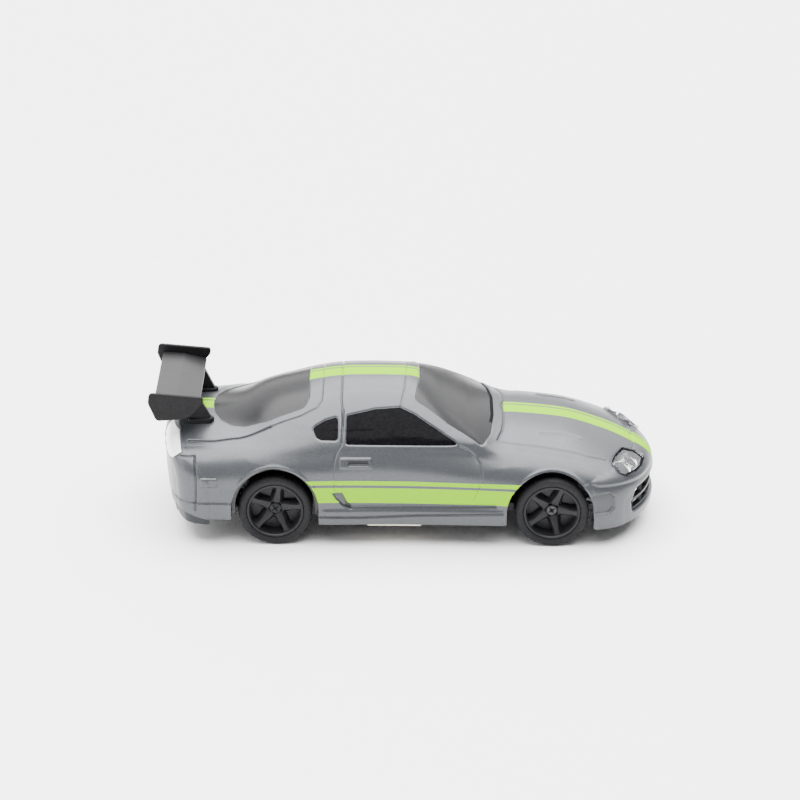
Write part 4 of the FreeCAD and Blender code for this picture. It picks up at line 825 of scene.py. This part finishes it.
for side, half in (("r", right), ("l", ~right)):
    for name in ("door_window", "quarter_window"):
        pane = patch(f"{name}_{side}_visual", (piece_of == name) & half, [SIDE_GLASS], SIDE_PANE_SINK, 0.4)
        settle(pane, "chassis", "dark_glass", f"{name}_{side}")
    lamp = (piece_of == "headlight") & half
    edge_ring = (CUTS["headlight"](centres) > -0.2).astype(int)
    lens = patch(f"headlight_lens_{side}_visual", lamp, [LENS, BLACK], 0.08, 0.3, indices=edge_ring)
    settle(lens, "chassis", "lens", f"headlight_lens_{side}")
    wave = 0.45 + 0.12 * np.sin(points[:, 0] * 4.2 + np.abs(points[:, 1]) * 1.7)
    for centre, radius in (((46.2, 8.3), 1.15), ((47.5, 5.9), 0.95)):
        away = np.hypot(points[:, 0] - centre[0], np.abs(points[:, 1]) - centre[1])
        wave = np.where(away < radius, 1.0 - 0.55 * (away / radius) ** 2, wave)
    bowl_points = points - form_normals * (0.25 + wave)[:, None]
    bowl = patch(f"headlight_bowl_{side}_visual", lamp, [CHROME], 0.0, -1.0, base=bowl_points)
    bowl.data.normals_split_custom_set_from_vertices([(0, 0, 0)] * len(bowl.data.vertices))
    settle(bowl, "chassis", "lamp_chrome", f"headlight_bowl_{side}")
    rear_lamp = (piece_of == "taillight") & half
    lamp_piece = patch(f"taillight_{side}_visual", rear_lamp, [TAIL_LENS], 0.07, 0.7)
    settle(lamp_piece, "chassis", "lens", f"taillight_{side}")

diffuser_pick = (piece_of == "diffuser") & (diffuser_foot(centres) > 0)
fins = 0.12 * np.sin(points[:, 1] * 2.6) * (np.abs(points[:, 1]) < 9)
settle(patch("rear_diffuser_visual", diffuser_pick, [GREY], 0.0, 0.8,
             base=points - form_normals * (0.28 + fins)[:, None]), "chassis", "dark_grey", "rear_diffuser")

# Black lining on the inside of the painted shell, from a coarser net of the same form.
lining_p, lining_q = surface_nets(FORM_LOW, FORM_HIGH, 1.0)
lining_p = relax(lining_p, lining_q, 4)
lining_t = triangulate(lining_p, lining_q)
for distance in (CUTS["arch"], foot_distance, CUTS["intake"], CUTS["diffuser"]):
    lining_p, lining_t = split_at(lining_p, lining_t, distance)
middle = lining_p[lining_t].mean(1)
stay = (CUTS["arch"](middle) > 0) & (foot_distance(middle) > 0) & (CUTS["intake"](middle) > 0)
stay &= CUTS["diffuser"](middle) > 0
lining_p = lining_p - unit(gradient(form, lining_p)) * 0.78
lining = mesh_piece("shell_lining", lining_p, lining_t[stay][:, ::-1], [BLACK])
settle(lining, "chassis", "chassis_black")


def slab(name, outline, near, far, bevel, surface, view="side"):
    """Plate from an outline, with bevelled edges."""
    outline = np.array(outline)
    n = len(outline)
    if view == "side":
        first = np.stack([outline[:, 0], np.full(n, near), outline[:, 1]], 1)
        second = np.stack([outline[:, 0], np.full(n, far), outline[:, 1]], 1)
    else:
        first = np.stack([outline[:, 0], outline[:, 1], np.full(n, near)], 1)
        second = np.stack([outline[:, 0], outline[:, 1], np.full(n, far)], 1)
    faces = [list(range(n)), list(range(2 * n - 1, n - 1, -1))]
    faces += [[i, i + n, (i + 1) % n + n, (i + 1) % n] for i in range(n)]
    item = mesh_piece(name, np.vstack([first, second]), faces, [surface])
    modifier = item.modifiers.new("soft_edges", "BEVEL")
    modifier.width = bevel * 0.001
    modifier.segments = 3
    modifier.limit_method = "ANGLE"
    modifier.angle_limit = math.radians(40)
    modifier.harden_normals = True
    return item


BLADE = rounded([(-15.9, 18.55), (-15.95, 18.95), (-13.0, 18.75), (-10.05, 18.0), (-10.0, 17.8),
                 (-13.0, 18.1)], 0.12)
END_PLATE = rounded([(-16.75, 18.6), (-16.6, 20.05), (-9.45, 19.45), (-9.5, 18.6), (-11.2, 16.7),
                     (-12.3, 16.35), (-15.7, 16.05)], 0.75, 6)
STAND = rounded([(-8.4, 14.6), (-9.1, 15.9), (-10.0, 17.75), (-13.4, 18.1), (-12.6, 16.5),
                 (-11.7, 14.4)], 0.3)
FOOT = rounded([(-12.0, 0), (-11.6, 0.75), (-8.7, 0.75), (-8.2, 0), (-8.7, -0.75), (-11.6, -0.75)], 0.5, 5)

blade = slab("wing_blade_visual", BLADE, -8.25, 8.25, 0.05, WING_BLACK)
settle(blade, "chassis", "satin_black", "wing_blade")
for side, sign in (("r", -1), ("l", 1)):
    plate = slab(f"wing_endplate_{side}_visual", END_PLATE, sign * 8.2, sign * 8.75, 0.16, PLATE_BLACK)
    settle(plate, "chassis", "satin_black", f"wing_endplate_{side}")
    stand = slab(f"wing_stand_{side}_visual", STAND, sign * 4.55, sign * 5.45, 0.15, PLATE_BLACK)
    settle(stand, "chassis", "satin_black", f"wing_stand_{side}")
    pad_line = FOOT + [0, sign * 5.0]
    pad = slab(f"wing_foot_{side}_visual", pad_line, 14.3, 15.15, 0.15, PLATE_BLACK, "top")
    settle(pad, "chassis", "satin_black")

# Bars across the front intake, following the nose.
BAR_STEPS = 60
BARS_LOW, BARS_HIGH = 3.95, 7.3
bar_p, bar_f = [], []
for z0, z1, sunk in [(BARS_LOW, 4.35, 0.55), (5.4, 5.75, 0.5), (6.9, BARS_HIGH, 0.55)]:
    ys = np.linspace(-10.2, 10.2, BAR_STEPS)
    start = sum(len(b) for b in bar_p)
    rows = []
    for z, deep in ((z0, 1.4), (z0, sunk), (z1, sunk), (z1, 1.4)):
        x = NOSE_X - NOSE_SWEEP * (1 - np.sqrt(1 - (ys / NOSE_HALF) ** 2)) - deep
        rows.append(np.stack([x, ys, np.full_like(ys, z)], 1))
    bar_p.append(np.vstack(rows))
    for k in range(4):
        for i in range(BAR_STEPS - 1):
            a, b = start + k * BAR_STEPS + i, start + (k + 1) % 4 * BAR_STEPS + i
            bar_f.append([a, b, b + 1, a + 1])
for y in np.arange(-9.2, 9.3, 2.3):
    x = NOSE_X - NOSE_SWEEP * (1 - math.sqrt(1 - (y / NOSE_HALF) ** 2))
    start = sum(len(b) for b in bar_p)
    sides = [(x - 1.3, y - 0.2), (x - 0.65, y - 0.2), (x - 0.65, y + 0.2), (x - 1.3, y + 0.2)]
    bar_p.append(np.array([(a, b, z) for z in (BARS_LOW, BARS_HIGH) for a, b in sides]))
    bar_f += [[start + i, start + (i + 1) % 4, start + (i + 1) % 4 + 4, start + i + 4] for i in range(4)]
settle(mesh_piece("intake_grille_visual", np.vstack(bar_p), bar_f, [SATIN], smooth=False), "chassis",
       "satin_black", "intake_grille")


# -------------------------------------------------------------------- wheels
def turned(name, profile, x, side, surface, steps=96):
    """Body of revolution about a wheel's axle; profile holds (radius, outward) pairs."""
    profile = np.array(profile, float)
    n = len(profile)
    p = []
    for s in range(steps):
        a = 2 * math.pi * s / steps
        p.append(np.stack([x + profile[:, 0] * math.cos(a), side * profile[:, 1],
                           AXLE_Z + profile[:, 0] * math.sin(a)], 1))
    faces = []
    for s in range(steps):
        for i in range(n):
            a, b = s * n + i, s * n + (i + 1) % n
            c, d = (s + 1) % steps * n + (i + 1) % n, (s + 1) % steps * n + i
            faces.append([a, b, c, d] if side > 0 else [d, c, b, a])
    item = mesh_piece(name, np.vstack(p), faces, [surface])
    edge = item.modifiers.new("crisp", "EDGE_SPLIT")
    edge.split_angle = math.radians(35)
    return item


TYRE_PROFILE = [(3.76, 8.6), (4.15, 8.5), (4.55, 8.66), (4.8, 9.0), (4.9, 9.5), (4.9, 11.7), (4.85, 12.15),
                (4.68, 12.42), (4.4, 12.55), (4.1, 12.56), (3.95, 12.5), (3.8, 12.4), (3.76, 12.2)]
RIM_PROFILE = [(3.74, 8.5), (3.74, 12.45), (3.66, 12.52), (3.5, 12.5), (3.4, 12.38), (3.36, 11.9),
               (3.32, 10.4), (3.3, 8.5)]
DISC_PROFILE = [(3.32, 10.7), (1.0, 10.75), (0.62, 10.75), (0.62, 10.2), (3.32, 10.2)]
HUB_PROFILE = [(0.78, 8.5), (0.78, 11.15), (0.95, 11.45), (1.15, 11.35), (1.25, 11.1), (1.3, 10.6),
               (1.15, 10.2), (1.15, 8.5)]
CAP_PROFILE = [(0.02, 11.62), (0.45, 11.6), (0.72, 11.5), (0.76, 11.3), (0.76, 11.0), (0.02, 11.0)]
# A spoke's stations: radius, half width and height of the ridge.
SPOKE = [(0.79, 0.66, 11.45), (1.1, 0.80, 11.55), (1.7, 0.70, 11.72), (2.5, 0.50, 11.95), (3.1, 0.52, 12.1),
         (3.45, 0.80, 12.2)]


def spoke_mesh(name, x, side, start, surface):
    """Five tapered star spokes with a raised middle ridge."""
    p, faces = [], []
    for k in range(5):
        angle = math.radians(start + 72 * k)
        out = np.array([math.cos(angle), 0, math.sin(angle)])
        across = np.array([-math.sin(angle), 0, math.cos(angle)])
        for r, half, top in SPOKE:
            for w, drop in ((-half - 0.22, 1.25), (-half, 0.42), (-half * 0.55, 0.04), (0, 0.0),
                            (half * 0.55, 0.04), (half, 0.42), (half + 0.22, 1.25)):
                q = np.array([x, 0, AXLE_Z]) + out * r + across * w
                q[1] = side * max(top - drop, 10.6)
                p.append(q)
        base = k * len(SPOKE) * 7
        for i in range(len(SPOKE) - 1):
            for j in range(6):
                a = base + i * 7 + j
                quad = [a, a + 1, a + 8, a + 7]
                faces.append(quad if side < 0 else quad[::-1])
    item = mesh_piece(name, np.array(p), faces, [surface])
    edge = item.modifiers.new("crisp", "EDGE_SPLIT")
    edge.split_angle = math.radians(38)
    return item


WHEELS = [("rear", 0.0, "r", -1, "rear_axle", 81), ("rear", 0.0, "l", 1, "rear_axle", 81),
          ("front", BASE, "r", -1, "front_wheel_right", 68), ("front", BASE, "l", 1, "front_wheel_left", 68)]
for end, x, side, sign, body, start in WHEELS:
    tag = f"{end}_{side}"
    knuckle = "knuckle_right" if side == "r" else "knuckle_left"
    holder = knuckle if end == "front" else body
    settle(turned(f"tyre_{tag}", TYRE_PROFILE, x, sign, TYRE), body, "tyre", f"{end}_tyre_{side}")
    settle(turned(f"rim_{tag}", RIM_PROFILE, x, sign, SATIN), body, "satin_black", f"{end}_rim_{side}")
    settle(turned(f"rim_disc_{tag}", DISC_PROFILE, x, sign, SATIN), body, "satin_black")
    settle(turned(f"hub_{tag}", HUB_PROFILE, x, sign, SATIN, 48), body, "satin_black")
    settle(spoke_mesh(f"spokes_{tag}", x, sign, start, SATIN), body, "satin_black")
    cap = turned(f"hub_screw_{tag}", CAP_PROFILE, x, sign, SATIN, 48)
    # Painted shade: black marks on each hub screw stand for the shade in its cross recess.
    for turn in (35, 125):
        a = math.radians(turn)
        cross_shade_outline = [(x + r * math.cos(a) - w * math.sin(a), AXLE_Z + r * math.sin(a) + w * math.cos(a))
                     for r, w in ((-0.5, -0.09), (0.5, -0.09), (0.5, 0.09), (-0.5, 0.09))]
        mark = slab(f"hub_cross_{tag}_{turn}", cross_shade_outline, sign * 11.5, sign * 11.63, 0.01, BLACK)
        settle(mark, holder, "satin_black")
    screws = [f"wheel_screw_{side}"] if end == "front" else []
    settle(cap, holder, "satin_black", *screws)

# CAD pieces that are shown as they are.
slots_of = {row["node"]: row["material_slot"] for row in frame["record"]["subparts"]}
for node, item in frame["nodes"].items():
    item.data.materials.clear()
    item.data.materials.append(CAD_SURFACES[slots_of[node]])

# ------------------------------------------------------- stage, light, camera
floor_surface = material("floor_white", (0.93, 0.93, 0.935), 0.55, grain=300, spread=0.003, rough_spread=0.02)
bpy.ops.mesh.primitive_plane_add(size=4.0, location=(0, 0, -0.00002))
floor = bpy.context.object
floor.name = "floor"
floor.data.materials.append(floor_surface)

world = bpy.data.worlds.new("studio")
bpy.context.scene.world = world
world.use_nodes = True
world.node_tree.nodes["Background"].inputs["Color"].default_value = (1, 1, 1, 1)
world.node_tree.nodes["Background"].inputs["Strength"].default_value = 0.45


def soft_light(name, place, aim, size, power):
    """Rectangular lamp at a place in metres, aimed at a point."""
    data = bpy.data.lights.new(name, "AREA")
    data.shape = "RECTANGLE"
    data.size, data.size_y = size
    data.energy = power
    item = bpy.data.objects.new(name, data)
    item.location = place
    item.rotation_euler = (Vector(aim) - Vector(place)).to_track_quat("-Z", "Y").to_euler()
    bpy.context.scene.collection.objects.link(item)


soft_light("left_rear", (-0.28, -0.10, 0.16), (-0.02, 0, 0.01), (0.25, 0.25), 0.9)
soft_light("behind", (0.0, 0.55, 0.36), (0, 0, 0.01), (1.1, 0.45), 4.2)
sky = bpy.data.lights.new("overhead", "SUN")
sky.energy = 15.0
sky.angle = math.radians(80)
overhead = bpy.data.objects.new("overhead", sky)
overhead.rotation_euler = (math.radians(-6), 0, 0)
bpy.context.scene.collection.objects.link(overhead)

CAMERA_DISTANCE = 0.40347
azimuth, elevation, roll = math.radians(-0.034), math.radians(23.687), math.radians(0.441)
right_way = Vector((math.cos(azimuth), math.sin(azimuth), 0))
back_way = Vector((math.sin(azimuth) * math.cos(elevation), -math.cos(azimuth) * math.cos(elevation),
                   math.sin(elevation)))
up_way = back_way.cross(right_way)
turned_right = math.cos(roll) * right_way + math.sin(roll) * up_way
turned_up = back_way.cross(turned_right)
target = Vector((REAR_X + 16.36, 0, 15.584)) * 0.001
camera_data = bpy.data.cameras.new("photo_camera")
camera_data.sensor_width = 36.0
camera_data.lens = 135.3
camera_data.clip_start = 0.01
camera = bpy.data.objects.new("photo_camera", camera_data)
camera.matrix_world = Matrix((
    (turned_right.x, turned_up.x, back_way.x, 0), (turned_right.y, turned_up.y, back_way.y, 0),
    (turned_right.z, turned_up.z, back_way.z, 0), (0, 0, 0, 1)))
camera.location = target + back_way * CAMERA_DISTANCE
bpy.context.scene.collection.objects.link(camera)
bpy.context.scene.camera = camera
